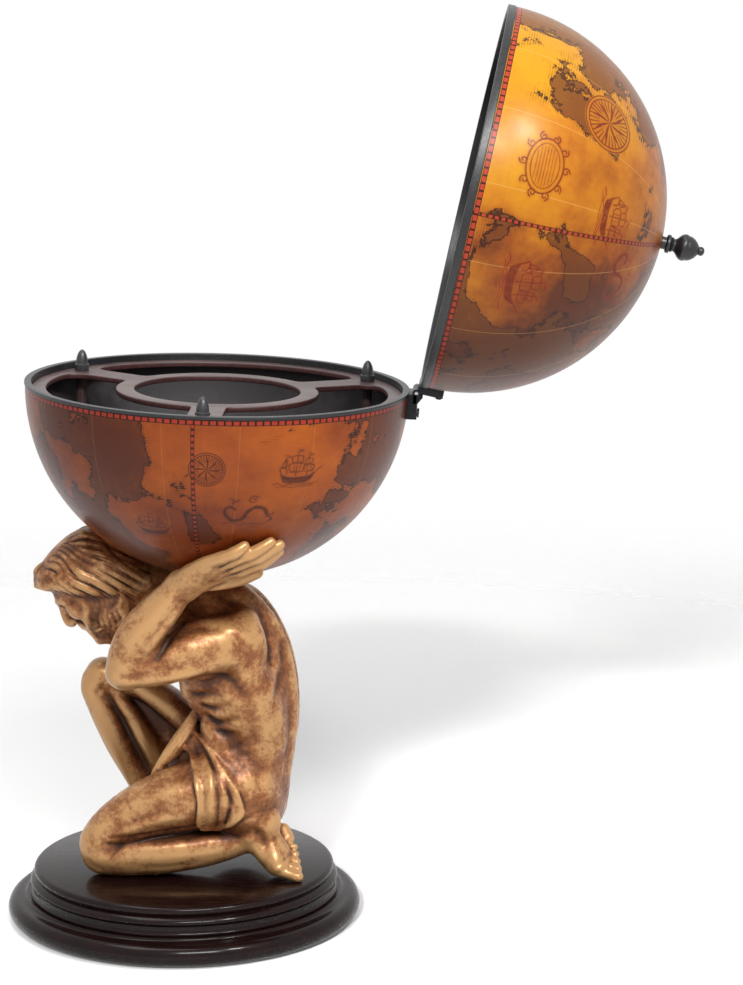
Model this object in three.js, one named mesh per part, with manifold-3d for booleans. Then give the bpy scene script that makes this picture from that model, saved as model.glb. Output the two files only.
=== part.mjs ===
// Floor globe bar: a hinged globe with a bottle tray, carried by a kneeling figure on a turned plinth.
// Millimetres, +Z up. The origin is the centre of the underside. The figure faces -X, the lid opens to +X.

import * as THREE from 'three';
import { LoftGeometry } from 'three/addons/geometries/LoftGeometry.js';
import { mergeVertices } from 'three/addons/utils/BufferGeometryUtils.js';
import Module from 'manifold-3d';

const wasm = await Module();
wasm.setup();

// Clearances between pieces that touch on the real object.
const gap = 0.3;
const holeClearance = 0.4;
const overrun = 20;

// Plinth: felt, lower tier, upper tier.
const feltThickness = 2;
const feltInset = 9;
const lowerTierRadius = 198.5;
const lowerTierHeight = 28;
const torusRadius = 12;
const lowerNeckRadius = 177;
const upperTierHeight = 31;
const upperTierRadius = 173.5;
const coveDepth = 3.5;
const topPlateRadius = 166.7;

// Globe: two half shells with rims, leaning a little to the lid's side.
const globeRadius = 210;
const shellWall = 4;
const globeLean = 1.93;
const rimLip = 0.8;
const rimTop = 2;
const rimLipHeight = 3.5;
const skirtThickness = 2;
const skirtDepth = 10;
const lidBandHeight = 8.6;
const lidRimAbovePin = 1.7;

// Tray, shelf and posts inside the bowl.
const trayDrop = 7;
const boardThickness = 6;
const shelfStand = 64;
const centreHoleRadius = 91;
const holeBorder = 20;
const trayRimWidth = 16;
const webWidth = 37;
const cutoutOuterFillet = 26;
const cutoutInnerFillet = 8;
const postInset = 20;
const postCount = 3;
const postRadius = 6;
const finialRadius = 8;
const finialHeight = 23.5;
const finialShankRadius = 3;
const finialShankLength = 18;

// Hinge.
const hingePinReach = 8.5;
const hingePinHeight = 2.3;
const hingePinRadius = 2;
const knuckleRadius = 4.5;
const leafWidth = 40;
const leafHeight = 28;
const lowerLeafOffset = 1;
const upperLeafOffset = 0.2;
const leafSetback = 1;
const stopLugReach = 6;
const stopLugHeight = 12;
const openAngle = 100.9;
const hingeScrewRadius = 2;
const hingeScrewSpread = 22;
const hingeScrewSetback = 4.5;
const hingeNutThickness = 3;
const lidNutThickness = 4.5;

// Fixings.
const studRadius = 5;
const studDepth = 60;
const studProtrusion = 22;
const washerRadius = 16;
const washerThickness = 2;
const nutThickness = 8;
const nutRadius = 9.5;
const figureBoltRadius = 4;
const figureBoltDepth = 18;
const counterbore = 12;
const figureWasherRadius = 10;
const woodScrewRadius = 2.5;
const woodScrewLength = 32;
const plinthScrewCount = 4;
const plinthScrewCircle = 130;

// Lid finial.
const lidFinialLength = 48;
const lidFinialRadius = 14.5;
const lidStudRadius = 3;
const lidStudProtrusion = 14;
const lidStudInFinial = 20;

// Figure: every place and thickness of the body is a share of its height.
const figureHeight = 390;
const headHeight = 104;
const headTilt = 47;

// Facets.
const globeSegments = 32;
const shellSteps = 9;
const plinthSegments = 36;
const plinthCurveSteps = 3;
const cutoutCurveSteps = 5;
const smallSegments = 10;
const screwSegments = 6;
const torsoSides = 12;
const limbSides = 8;
const fingerSides = 5;
const strandSides = 5;
const endRings = 2;
const ballSides = 8;
const ballRings = 6;

const turn = Math.PI * 2;
const radians = THREE.MathUtils.degToRad;

// Finishes.
function finish(color, roughness, metalness = 0) {
  return new THREE.MeshStandardMaterial({ color, roughness, metalness });
}

const lacquer = finish(0x2a1210, 0.3);
const blackRim = finish(0x16161a, 0.45);
const darkBoard = finish(0x2b1c1a, 0.5);
const bowlPrint = finish(0x9c4a16, 0.35);
const lidPrint = finish(0xb8681a, 0.3);
const bronzeResin = finish(0xa9824a, 0.4, 0.6);
const blackMetal = finish(0x1b1b1d, 0.35, 0.8);
const zincSteel = finish(0xb9bcc0, 0.35, 0.9);
const blackFelt = finish(0x1a1a1a, 0.95);

// Shapes.
function turned(points, segments) {
  const geometry = new THREE.LatheGeometry(points, segments);
  geometry.rotateX(Math.PI / 2);
  return geometry;
}

function outline(...pairs) {
  return pairs.map(([radius, height]) => new THREE.Vector2(radius, height));
}

function ballArc(radius, fromPolar, toPolar, steps) {
  const points = [];
  for (let step = 0; step <= steps; step++) {
    const polar = fromPolar + ((toPolar - fromPolar) * step) / steps;
    points.push(new THREE.Vector2(radius * Math.sin(polar), -radius * Math.cos(polar)));
  }
  return points;
}

function rod(radius, from, to, segments = screwSegments) {
  return turned(outline([0, from], [radius, from], [radius, to], [0, to]), segments);
}

function hexagon(radius, from, to) {
  return turned(outline([0, from], [radius, from], [radius, to], [0, to]), 6);
}

function ring(inner, outer, from, to, segments = smallSegments) {
  const corners = [[inner, from], [outer, from], [outer, to], [inner, to], [inner, from]];
  return turned(outline(...corners), segments);
}

function woodScrew(length) {
  const head = woodScrewRadius * 2;
  return turned(outline(
    [0, 0], [head, 0], [woodScrewRadius, woodScrewRadius],
    [woodScrewRadius, length - head], [0, length],
  ), screwSegments);
}

function woodScrewHole(length) {
  const head = woodScrewRadius * 2 + holeClearance;
  const shank = woodScrewRadius + holeClearance;
  return turned(outline(
    [0, -overrun], [head, -overrun], [head, 0], [shank, woodScrewRadius],
    [shank, length - head + holeClearance * 2], [0, length + holeClearance * 2],
  ), screwSegments);
}

// Solids, for joins and cuts.
function solid(geometry) {
  const bare = new THREE.BufferGeometry();
  bare.setAttribute('position', geometry.attributes.position);
  bare.setIndex(geometry.index);
  const merged = mergeVertices(bare);
  const kept = [];
  for (let first = 0; first < merged.index.count; first += 3) {
    const corners = [0, 1, 2].map((corner) => merged.index.getX(first + corner));
    if (new Set(corners).size === 3) {
      kept.push(...corners);
    }
  }
  const vertProperties = new Float32Array(merged.attributes.position.array);
  return new wasm.Manifold(new wasm.Mesh({ numProp: 3, vertProperties, triVerts: new Uint32Array(kept) }));
}

function surface(body) {
  const mesh = body.getMesh();
  const geometry = new THREE.BufferGeometry();
  geometry.setAttribute('position', new THREE.BufferAttribute(mesh.vertProperties, 3));
  geometry.setIndex(new THREE.BufferAttribute(mesh.triVerts, 1));
  geometry.computeVertexNormals();
  return geometry;
}

// The casting has no pockets closed off between its parts, so only its outer skin is kept.
function outerSkin(geometry) {
  const index = Array.from(geometry.index.array);
  const owner = Array.from({ length: geometry.attributes.position.count }, (_, vertex) => vertex);
  const find = (vertex) => (owner[vertex] === vertex ? vertex : (owner[vertex] = find(owner[vertex])));
  for (let first = 0; first < index.length; first += 3) {
    owner[find(index[first])] = find(index[first + 1]);
    owner[find(index[first + 1])] = find(index[first + 2]);
  }
  const sizes = new Map();
  index.forEach((vertex) => sizes.set(find(vertex), (sizes.get(find(vertex)) ?? 0) + 1));
  const largest = Math.max(...sizes.values());
  geometry.setIndex(index.filter((vertex) => sizes.get(find(vertex)) === largest));
  return geometry;
}

function joined(geometries) {
  return geometries.map(solid).reduce((whole, piece) => whole.add(piece));
}

function cut(body, geometries) {
  return geometries.map(solid).reduce((whole, tool) => whole.subtract(tool), body);
}

function moved(geometry, x, y, z) {
  return geometry.translate(x, y, z);
}

function piece(name, geometry, material) {
  const mesh = new THREE.Mesh(geometry, material);
  mesh.name = name;
  return mesh;
}

function pieces(name, geometries, material) {
  return geometries.map((geometry, index) => piece(`${name}_${index + 1}`, geometry, material));
}

function around(count, radius, startAngle, make) {
  return Array.from({ length: count }, (_, index) => {
    const angle = startAngle + (turn * index) / count;
    return make(radius * Math.cos(angle), radius * Math.sin(angle), index);
  });
}

// Heights of the stack.
const lowerTierBottom = feltThickness + gap;
const lowerTierTop = lowerTierBottom + lowerTierHeight;
const upperTierBottom = lowerTierTop + gap;
const plinthTop = upperTierBottom + upperTierHeight;
const rimDrop = rimLipHeight + gap - rimTop;
const figureBottom = plinthTop + gap;
const hingePinCircle = globeRadius + hingePinReach;

// Places on the figure that carry the globe and the bolts.
const seatShares = [0.0926, 0, 0.856];
const boltShares = [[-0.2, -0.135], [-0.07, -0.135], [-0.12, 0.137]];

const lean = new THREE.Quaternion().setFromAxisAngle(new THREE.Vector3(0, 1, 0), radians(globeLean));
const globeUp = new THREE.Vector3(0, 0, 1).applyQuaternion(lean);
const seat = new THREE.Vector3(...seatShares).multiplyScalar(figureHeight);
seat.z += figureBottom;
const globeCentre = seat.clone().addScaledVector(globeUp, globeRadius);
const boltPlaces = boltShares.map(([x, y]) => [x * figureHeight, y * figureHeight]);

// Plinth.
function plinthScrewPlaces(make) {
  return around(plinthScrewCount, plinthScrewCircle, turn / plinthScrewCount / 2, make);
}

function boltHole(x, y) {
  const shank = rod(figureBoltRadius + holeClearance, -overrun, plinthTop + overrun);
  const socketTop = lowerTierBottom + counterbore;
  const socket = rod(figureWasherRadius + holeClearance, -overrun, socketTop, smallSegments);
  return [moved(shank, x, y, 0), moved(socket, x, y, 0)];
}

function plinthHoles() {
  const screws = plinthScrewPlaces((x, y) => moved(woodScrewHole(woodScrewLength), x, y, lowerTierBottom));
  return [...screws, ...boltPlaces.flatMap(([x, y]) => boltHole(x, y))];
}

function lowerTier() {
  const path = new THREE.Path();
  const torusMiddle = lowerTierBottom + torusRadius;
  const shoulder = lowerTierRadius - torusRadius;
  path.moveTo(0, lowerTierBottom);
  path.lineTo(shoulder, lowerTierBottom);
  path.absarc(shoulder, torusMiddle, torusRadius, -turn / 4, turn / 4, false);
  path.quadraticCurveTo(lowerNeckRadius, torusMiddle + torusRadius, lowerNeckRadius, lowerTierTop);
  path.lineTo(0, lowerTierTop);
  return surface(cut(solid(turned(path.getPoints(plinthCurveSteps), plinthSegments)), plinthHoles()));
}

function upperTier() {
  const bead = upperTierHeight / 3;
  const path = new THREE.Path();
  const coveRadius = upperTierRadius - coveDepth;
  const topRadius = topPlateRadius - bead / 4;
  path.moveTo(0, upperTierBottom);
  path.lineTo(upperTierRadius, upperTierBottom);
  path.quadraticCurveTo(coveRadius, upperTierBottom, coveRadius, upperTierBottom + bead);
  path.lineTo(upperTierRadius - bead / 4, upperTierBottom + bead);
  path.quadraticCurveTo(
    upperTierRadius + bead / 4, upperTierBottom + bead + bead / 2, topPlateRadius, upperTierBottom + bead * 2,
  );
  path.quadraticCurveTo(topPlateRadius + bead / 2, plinthTop - bead / 4, topRadius, plinthTop);
  path.lineTo(0, plinthTop);
  return surface(cut(solid(turned(path.getPoints(plinthCurveSteps), plinthSegments)), plinthHoles()));
}

function washer(inner, outer, bottom, thickness) {
  return ring(inner + holeClearance, outer, bottom, bottom + thickness);
}

function figureBolt(x, y) {
  const headTop = lowerTierBottom + counterbore - washerThickness - gap * 2;
  const head = hexagon(figureBoltRadius * 2, headTop - figureBoltRadius * 1.5, headTop);
  const shank = rod(figureBoltRadius, headTop - figureBoltRadius, figureBottom + figureBoltDepth);
  return moved(surface(joined([head, shank])), x, y, 0);
}

function figureWasher(x, y) {
  const bottom = lowerTierBottom + counterbore - washerThickness - gap;
  return moved(washer(figureBoltRadius, figureWasherRadius, bottom, washerThickness), x, y, 0);
}

// Figure: limbs are lofts of elliptical rings along a curve.
const sideways = new THREE.Vector3(0, 1, 0);
const capFlatShare = 0.35;

function ringAt(centre, along, across, depth, reference, sides) {
  const side = reference.clone().projectOnPlane(along).normalize();
  const front = new THREE.Vector3().crossVectors(along, side);
  return Array.from({ length: sides }, (_, index) => {
    const angle = (turn * index) / sides;
    return centre.clone()
      .addScaledVector(side, across * Math.cos(angle))
      .addScaledVector(front, depth * Math.sin(angle));
  });
}

function limb(rows, { sides = limbSides, caps = endRings, reference = sideways } = {}) {
  const path = new THREE.CatmullRomCurve3(rows.map(([x, y, z]) => new THREE.Vector3(x, y, z)));
  const sizeRows = rows.map(([, , , across, depth]) => new THREE.Vector3(across, depth, 0));
  const sizes = new THREE.CatmullRomCurve3(sizeRows);
  const count = rows.length - 1;
  const rings = [];
  for (let step = -caps; step <= count + caps; step++) {
    const place = THREE.MathUtils.clamp(step, 0, count) / count;
    const beyond = (Math.abs(step - place * count) / (caps + capFlatShare)) * (turn / 4);
    const size = sizes.getPoint(place);
    const along = path.getTangent(place);
    const reach = Math.sign(step) * Math.sin(beyond) * Math.min(size.x, size.y);
    const centre = path.getPoint(place).addScaledVector(along, reach);
    rings.push(ringAt(centre, along, size.x * Math.cos(beyond), size.y * Math.cos(beyond), reference, sides));
  }
  return new LoftGeometry(rings, { capStart: true, capEnd: true });
}

function ball([x, y, z, along, across, height], turnAboutY = 0) {
  const geometry = new THREE.SphereGeometry(1, ballSides, ballRings);
  geometry.scale(along, across, height);
  geometry.rotateY(turnAboutY);
  return moved(geometry, x, y, z);
}

// A row of shares becomes a row of lengths, on the left (1) or mirrored to the right (-1).
function onBody(rows, side = 1) {
  return rows.map(([x, y, z, across, depth]) => [
    x * figureHeight, y * side * figureHeight, figureBottom + z * figureHeight,
    across * figureHeight, depth * figureHeight,
  ]);
}

function ballOnBody([x, y, z, along, across, height], side = 1, turnAboutY = 0) {
  const place = [x, y * side, z].map((share) => share * figureHeight);
  const radii = [along, across, height].map((share) => share * figureHeight);
  return ball([place[0], place[1], place[2] + figureBottom, ...radii], turnAboutY);
}

// Rows hold x, y, z, half width and half depth. The left side of the body is -Y.
const torsoShares = [
  [0.17, 0, 0.135, 0.12, 0.095],
  [0.178, 0, 0.2, 0.168, 0.12],
  [0.196, 0, 0.275, 0.162, 0.116],
  [0.21, 0, 0.36, 0.142, 0.112],
  [0.2, 0, 0.45, 0.158, 0.132],
  [0.163, 0, 0.54, 0.19, 0.16],
  [0.128, 0, 0.635, 0.205, 0.155],
  [0.085, 0, 0.722, 0.185, 0.118],
  [0.025, 0, 0.79, 0.115, 0.092],
  [-0.06, 0, 0.815, 0.08, 0.078],
  [-0.16, 0, 0.822, 0.075, 0.075],
];
const napeShares = [0.095, 0, 0.775, 0.105, 0.15, 0.115];
const scapulaShares = [0.205, -0.115, 0.68, 0.075, 0.085, 0.12];
const chestShares = [0.045, -0.085, 0.53, 0.07, 0.085, 0.075];
const buttockShares = [0.18, -0.085, 0.2, 0.12, 0.1, 0.1];
const trapeziusShares = [
  [0.07, -0.03, 0.79, 0.09, 0.08],
  [0.11, -0.14, 0.745, 0.08, 0.075],
  [0.12, -0.2, 0.7, 0.07, 0.07],
];
const upperArmShares = [
  [0.14, -0.175, 0.69, 0.075, 0.08],
  [0.075, -0.215, 0.685, 0.075, 0.083],
  [0, -0.238, 0.665, 0.064, 0.072],
  [-0.08, -0.25, 0.64, 0.06, 0.067],
  [-0.155, -0.252, 0.622, 0.052, 0.057],
];
const forearmShares = [
  [-0.162, -0.25, 0.612, 0.056, 0.056],
  [-0.138, -0.257, 0.67, 0.062, 0.064],
  [-0.095, -0.266, 0.742, 0.06, 0.062],
  [-0.035, -0.276, 0.815, 0.05, 0.05],
  [0.028, -0.286, 0.872, 0.041, 0.038],
];
const kneelingThighShares = [
  [0.17, -0.085, 0.25, 0.11, 0.1],
  [0.08, -0.112, 0.238, 0.105, 0.1],
  [-0.01, -0.13, 0.217, 0.094, 0.094],
  [-0.1, -0.135, 0.187, 0.084, 0.084],
  [-0.185, -0.137, 0.145, 0.074, 0.07],
  [-0.225, -0.137, 0.095, 0.066, 0.064],
];
const kneelingShinShares = [
  [-0.215, -0.137, 0.075, 0.068, 0.07],
  [-0.14, -0.137, 0.064, 0.072, 0.068],
  [-0.03, -0.134, 0.064, 0.076, 0.069],
  [0.085, -0.13, 0.072, 0.064, 0.06],
  [0.175, -0.128, 0.092, 0.047, 0.05],
  [0.225, -0.126, 0.115, 0.044, 0.046],
];
const kneelingHeelShares = [
  [0.2, -0.126, 0.1, 0.044, 0.045],
  [0.242, -0.125, 0.142, 0.046, 0.043],
  [0.258, -0.125, 0.168, 0.04, 0.036],
];
const kneelingFootShares = [
  [0.245, -0.126, 0.15, 0.042, 0.04],
  [0.268, -0.13, 0.105, 0.048, 0.045],
  [0.29, -0.138, 0.062, 0.058, 0.043],
  [0.306, -0.142, 0.042, 0.06, 0.032],
];
const soleShares = [
  [0.297, -0.062, 0.108, 0.028, 0.03],
  [0.3, -0.1, 0.08, 0.03, 0.03],
];
const raisedThighShares = [
  [0.16, 0.09, 0.25, 0.11, 0.1],
  [0.05, 0.108, 0.33, 0.1, 0.094],
  [-0.06, 0.116, 0.4, 0.086, 0.082],
  [-0.16, 0.118, 0.455, 0.074, 0.07],
  [-0.235, 0.118, 0.488, 0.062, 0.066],
];
const raisedShinShares = [
  [-0.25, 0.118, 0.485, 0.062, 0.06],
  [-0.225, 0.12, 0.405, 0.062, 0.057],
  [-0.165, 0.126, 0.295, 0.06, 0.055],
  [-0.12, 0.13, 0.195, 0.046, 0.044],
  [-0.085, 0.134, 0.1, 0.042, 0.046],
  [-0.06, 0.135, 0.045, 0.045, 0.045],
];
const flatFootShares = [
  [-0.05, 0.135, 0.04, 0.044, 0.042],
  [-0.12, 0.138, 0.055, 0.05, 0.045],
  [-0.2, 0.142, 0.035, 0.058, 0.034],
  [-0.235, 0.144, 0.024, 0.056, 0.024],
];
const toeCount = 5;
const toeTaperShare = 0.1;
// The kneeling foot is rolled on its side, so its toes climb from the near one to the far one.
const kneelingToeShares = {
  root: [0.3, -0.18, 0.016], step: [0, 0.02, 0.014], reach: [0.03, 0, -0.002], radius: 0.0165,
};
const raisedToeShares = {
  root: [-0.232, 0.103, 0.014], step: [0.005, 0.021, 0], reach: [-0.032, 0, -0.003], radius: 0.016,
};
const footRollShares = [0, 0.82, 0.57];

function toes({ root, step, reach, radius }) {
  return Array.from({ length: toeCount }, (_, index) => {
    const size = 1 - toeTaperShare * index;
    const from = root.map((share, axis) => share + step[axis] * index);
    const to = from.map((share, axis) => share + reach[axis] * size);
    const width = radius * size;
    const rows = [from, to].map((place) => [...place, width, width]);
    return limb(onBody(rows), { sides: strandSides, caps: 1 });
  });
}

// Hands lie on the globe: rows run from the heel of the hand to the finger tips.
const handShares = { startAzimuth: -0.28, startPolar: 0.085, endAzimuth: -0.168, endPolar: 0.129 };
const palmShares = [
  [0, 0, 0.055, 0.043, 0.04],
  [0.2, 0, 0.032, 0.056, 0.034],
  [0.4, 0, 0.026, 0.064, 0.028],
  [0.55, 0, 0.024, 0.062, 0.022],
];
const fingerShares = {
  first: 0.5, across: 0.03, radius: 0.0168, tips: [0.77, 0.97, 1, 0.95],
  knuckleLift: 0.028, jointLift: 0.03, tipLift: 0.018, knuckle: 1.08, tip: 0.82,
};
const thumbShares = [
  [0.08, 0.04, 0.03, 0.02, 0.02],
  [0.3, 0.085, 0.022, 0.018, 0.018],
  [0.48, 0.1, 0.018, 0.014, 0.014],
];

function globeDirection(azimuth, polar) {
  const level = Math.sin(polar);
  return new THREE.Vector3(level * Math.cos(azimuth), level * Math.sin(azimuth), -Math.cos(polar));
}

function onGlobe([along, across, lift, halfWidth, halfDepth], side) {
  const mix = (from, to) => (from + (to - from) * along) * turn;
  const azimuth = mix(handShares.startAzimuth, handShares.endAzimuth);
  const polar = mix(handShares.startPolar, handShares.endPolar);
  const start = globeDirection(handShares.startAzimuth * turn, handShares.startPolar * turn);
  const end = globeDirection(handShares.endAzimuth * turn, handShares.endPolar * turn);
  const outward = globeDirection(azimuth, polar);
  const inner = new THREE.Vector3().crossVectors(end.sub(start), outward).normalize();
  const place = outward.multiplyScalar(globeRadius + lift * figureHeight);
  place.addScaledVector(inner, across * figureHeight);
  place.y *= side;
  place.add(globeCentre);
  return [...place.toArray(), halfWidth * figureHeight, halfDepth * figureHeight];
}

function hand(side) {
  const middle = onGlobe([0.5, 0, 0, 0, 0], side);
  const facing = new THREE.Vector3(...middle).sub(globeCentre);
  const across = new THREE.Vector3(...onGlobe([0.5, 1, 0, 0, 0], side)).sub(new THREE.Vector3(...middle));
  const options = { reference: across.projectOnPlane(facing).normalize() };
  const rows = (list) => list.map((row) => onGlobe(row, side));
  const fingers = fingerShares.tips.map((tip, index) => {
    const across = (index - (fingerShares.tips.length - 1) / 2) * fingerShares.across;
    const size = fingerShares.radius;
    const [wide, thin] = [size * fingerShares.knuckle, size * fingerShares.tip];
    const knuckle = [fingerShares.first, across, fingerShares.knuckleLift, wide, wide];
    const joint = [(fingerShares.first + tip) / 2, across, fingerShares.jointLift, size, size];
    const end = [tip, across, fingerShares.tipLift, thin, thin];
    return limb(rows([knuckle, joint, end]), { ...options, sides: fingerSides, caps: 1 });
  });
  return [
    limb(rows(palmShares), options),
    limb(rows(thumbShares), { ...options, sides: fingerSides, caps: 1 }),
    ...fingers,
  ];
}

function arm(side) {
  const upper = onBody(upperArmShares, side);
  const fore = onBody(forearmShares, side);
  fore.push(onGlobe(palmShares[0], side));
  return [limb(onBody(trapeziusShares, side)), limb(upper), limb(fore), ...hand(side)];
}

// Head: rows hold forward, sideways and up from its centre, as shares of the head's height.
const headCentreShares = [-0.244, 0, 0.826];
const skullShares = [-0.03, 0, 0.13, 0.44, 0.37, 0.38];
const faceShares = [
  [0.1, 0, 0.2, 0.3, 0.3],
  [0.13, 0, 0.05, 0.31, 0.29],
  [0.13, 0, -0.1, 0.27, 0.28],
  [0.13, 0, -0.25, 0.22, 0.25],
  [0.15, 0, -0.38, 0.15, 0.18],
];
const noseShares = [
  [0.4, 0, 0.08, 0.035, 0.04],
  [0.45, 0, 0, 0.042, 0.055],
  [0.5, 0, -0.1, 0.06, 0.07],
];
const browShares = [
  [0.3, -0.22, 0.1, 0.04, 0.05],
  [0.385, -0.1, 0.125, 0.04, 0.05],
  [0.385, 0.1, 0.125, 0.04, 0.05],
  [0.3, 0.22, 0.1, 0.04, 0.05],
];
const eyeShares = [0.335, -0.13, 0.03, 0.07, 0.075, 0.05];
const lipShares = [
  [0.37, -0.08, -0.215, 0.03, 0.035],
  [0.41, 0, -0.21, 0.035, 0.04],
  [0.37, 0.08, -0.215, 0.03, 0.035],
];
const hairMassShares = [-0.06, 0, 0.2, 0.5, 0.47, 0.42];
const napeHairShares = [-0.3, 0, -0.02, 0.24, 0.38, 0.3];
const beardMassShares = [0.17, 0, -0.38, 0.2, 0.24, 0.22];
const lockCount = 9;
const lockSteps = 4;
const lockShares = {
  fan: 0.43, front: -0.13, back: 0.21, lift: 1, wave: 0.05, width: 0.1, depth: 0.07, thinning: 0.6,
};
const curlCount = 5;
const curlShares = {
  reach: 0.26, drop: -0.3, tip: -0.62, forward: 0.22, bow: 0.06, gather: 0.35,
  width: 0.085, depth: 0.07, thinning: 0.4,
};

const faceDirection = new THREE.Vector3(-Math.cos(radians(headTilt)), 0, -Math.sin(radians(headTilt)));
const crownDirection = new THREE.Vector3(-Math.sin(radians(headTilt)), 0, Math.cos(radians(headTilt)));

function onHead([forward, across, up, halfWidth, halfDepth]) {
  const place = new THREE.Vector3(...headCentreShares).multiplyScalar(figureHeight);
  place.z += figureBottom;
  place.addScaledVector(faceDirection, forward * headHeight);
  place.addScaledVector(sideways, across * headHeight);
  place.addScaledVector(crownDirection, up * headHeight);
  return [...place.toArray(), halfWidth * headHeight, halfDepth * headHeight];
}

function ballOnHead([forward, across, up, along, wide, high]) {
  const [x, y, z] = onHead([forward, across, up, 0, 0]);
  const radii = [along, wide, high].map((share) => share * headHeight);
  return ball([x, y, z, ...radii], -radians(headTilt));
}

function hairLock(index) {
  const lean = ((index / (lockCount - 1)) * 2 - 1) * lockShares.fan * turn;
  const [forward, , up, along, wide, high] = hairMassShares;
  const rows = [];
  for (let step = 0; step <= lockSteps; step++) {
    const share = step / lockSteps;
    const swing = (lockShares.front + (lockShares.back - lockShares.front) * share) * turn;
    const wave = lockShares.wave * Math.sin(turn * share + index);
    const size = 1 - Math.abs(share * 2 - 1) ** 3 * lockShares.thinning;
    rows.push(onHead([
      forward - along * Math.sin(swing) * Math.cos(lean / 3),
      wide * Math.cos(swing) * Math.sin(lean / 2) + wave,
      up + high * Math.cos(swing) * Math.cos(lean / 2) * lockShares.lift,
      lockShares.width * size, lockShares.depth * size,
    ]));
  }
  return limb(rows, { sides: strandSides, caps: 1 });
}

function beardCurl(index) {
  const share = (index / (curlCount - 1)) * 2 - 1;
  const near = Math.cos((share * turn) / 5);
  const rows = [0, 0.5, 1].map((down) => onHead([
    curlShares.forward * near + curlShares.bow * Math.sin(down * turn / 2),
    curlShares.reach * share * (1 - down * curlShares.gather),
    curlShares.drop + (curlShares.tip - curlShares.drop) * down * near,
    curlShares.width * (1 - down * curlShares.thinning), curlShares.depth * (1 - down * curlShares.thinning),
  ]));
  return limb(rows, { sides: strandSides, caps: 1 });
}

function head() {
  const [forward, across, ...rest] = eyeShares;
  const eyes = [1, -1].map((side) => ballOnHead([forward, across * side, ...rest]));
  const locks = Array.from({ length: lockCount }, (_, index) => hairLock(index));
  const curls = Array.from({ length: curlCount }, (_, index) => beardCurl(index));
  return [
    ...[skullShares, hairMassShares, napeHairShares, beardMassShares].map(ballOnHead),
    limb(faceShares.map(onHead)), limb(noseShares.map(onHead), { sides: fingerSides }),
    limb(browShares.map(onHead), { sides: fingerSides, caps: 1, reference: crownDirection }),
    limb(lipShares.map(onHead), { sides: strandSides, caps: 1, reference: crownDirection }),
    ...eyes, ...locks, ...curls,
  ];
}

// Loincloth: a wrap round the hips with folds, and a flap over the kneeling thigh.
const wrapShares = [
  [0.175, 0, 0.2, 0.185, 0.135],
  [0.19, 0, 0.26, 0.185, 0.135],
  [0.2, 0, 0.31, 0.172, 0.13],
];
const flapFoldCount = 5;
const flapShares = {
  top: { front: 0.045, back: 0.12, height: 0.38 }, hem: { front: 0.07, back: 0.175, low: 0.15, high: 0.195 },
  side: -0.19, tuck: 0.065, belly: 0.02, radius: 0.034, middleThin: 0.9, hemThin: 0.6,
};
const tipShares = [
  [0.056, -0.036, 0.457, 0.024, 0.02],
  [0.01, -0.062, 0.4, 0.03, 0.018],
  [-0.036, -0.077, 0.344, 0.026, 0.016],
  [-0.074, -0.077, 0.288, 0.012, 0.01],
];

// The folds hang from the hip and fan out over the thigh.
function flapFold(index) {
  const share = index / (flapFoldCount - 1);
  const { top, hem, side, radius } = flapShares;
  const across = (front, back) => front + (back - front) * share;
  const [topPlace, hemPlace] = [across(top.front, top.back), across(hem.front, hem.back)];
  const hemHeight = across(hem.low, hem.high);
  const middle = (topPlace + hemPlace) / 2 + flapShares.belly;
  return limb(onBody([
    [topPlace, side + flapShares.tuck, top.height, radius, radius],
    [middle, side, (top.height + hemHeight) / 2, radius, radius * flapShares.middleThin],
    [hemPlace, side, hemHeight, radius, radius * flapShares.hemThin],
  ]), { sides: fingerSides, caps: 1 });
}

function loincloth() {
  const folds = Array.from({ length: flapFoldCount }, (_, index) => flapFold(index));
  return [limb(onBody(wrapShares)), limb(onBody(tipShares)), ...folds];
}

function body() {
  const pairs = [1, -1].flatMap((side) => [
    ...[scapulaShares, chestShares, buttockShares].map((row) => ballOnBody(row, side)), ...arm(side),
  ]);
  return [
    limb(onBody(torsoShares), { sides: torsoSides }), ballOnBody(napeShares), ...pairs,
    limb(onBody(kneelingThighShares)), limb(onBody(kneelingShinShares)),
    limb(onBody(kneelingHeelShares), { caps: 1 }), limb(onBody(soleShares), { sides: fingerSides, caps: 1 }),
    limb(onBody(kneelingFootShares), { reference: new THREE.Vector3(...footRollShares) }),
    limb(onBody(raisedThighShares)), limb(onBody(raisedShinShares)), limb(onBody(flatFootShares)),
    ...toes(kneelingToeShares), ...toes(raisedToeShares),
    ...loincloth(), ...head(),
  ];
}

function bowlPlug() {
  return turned(plug(studRadius + holeClearance, rimDrop), globeSegments);
}

function intoBowlPlace(geometry) {
  geometry.applyQuaternion(lean);
  return geometry.translate(...globeCentre.toArray());
}

function globeStudHole() {
  const hole = rod(studRadius + holeClearance, -globeRadius - studDepth - gap, 0);
  return intoBowlPlace(hole);
}

function figure() {
  const below = new THREE.BoxGeometry(figureHeight * 2, figureHeight * 2, figureHeight);
  moved(below, 0, 0, figureBottom - figureHeight / 2);
  const sockets = boltPlaces.map(([x, y]) => {
    const socket = rod(figureBoltRadius + holeClearance, 0, figureBottom + figureBoltDepth + holeClearance);
    return moved(socket, x, y, 0);
  });
  const cutters = [below, intoBowlPlace(bowlPlug()), globeStudHole(), ...sockets];
  return outerSkin(surface(cut(joined(body()), cutters)));
}

// Globe shells and rims, each round its own centre. Profiles are drawn for the bowl and flipped for the lid.
function wallArc(radius, holeRadius, edgeDrop) {
  const skirtEdge = Math.acos((edgeDrop + skirtDepth) / radius);
  const edge = Math.acos(edgeDrop / radius);
  const arc = ballArc(radius, Math.asin(holeRadius / radius), skirtEdge, shellSteps);
  return [...arc, ...ballArc(radius, edge, edge, 1).slice(1)];
}

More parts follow.
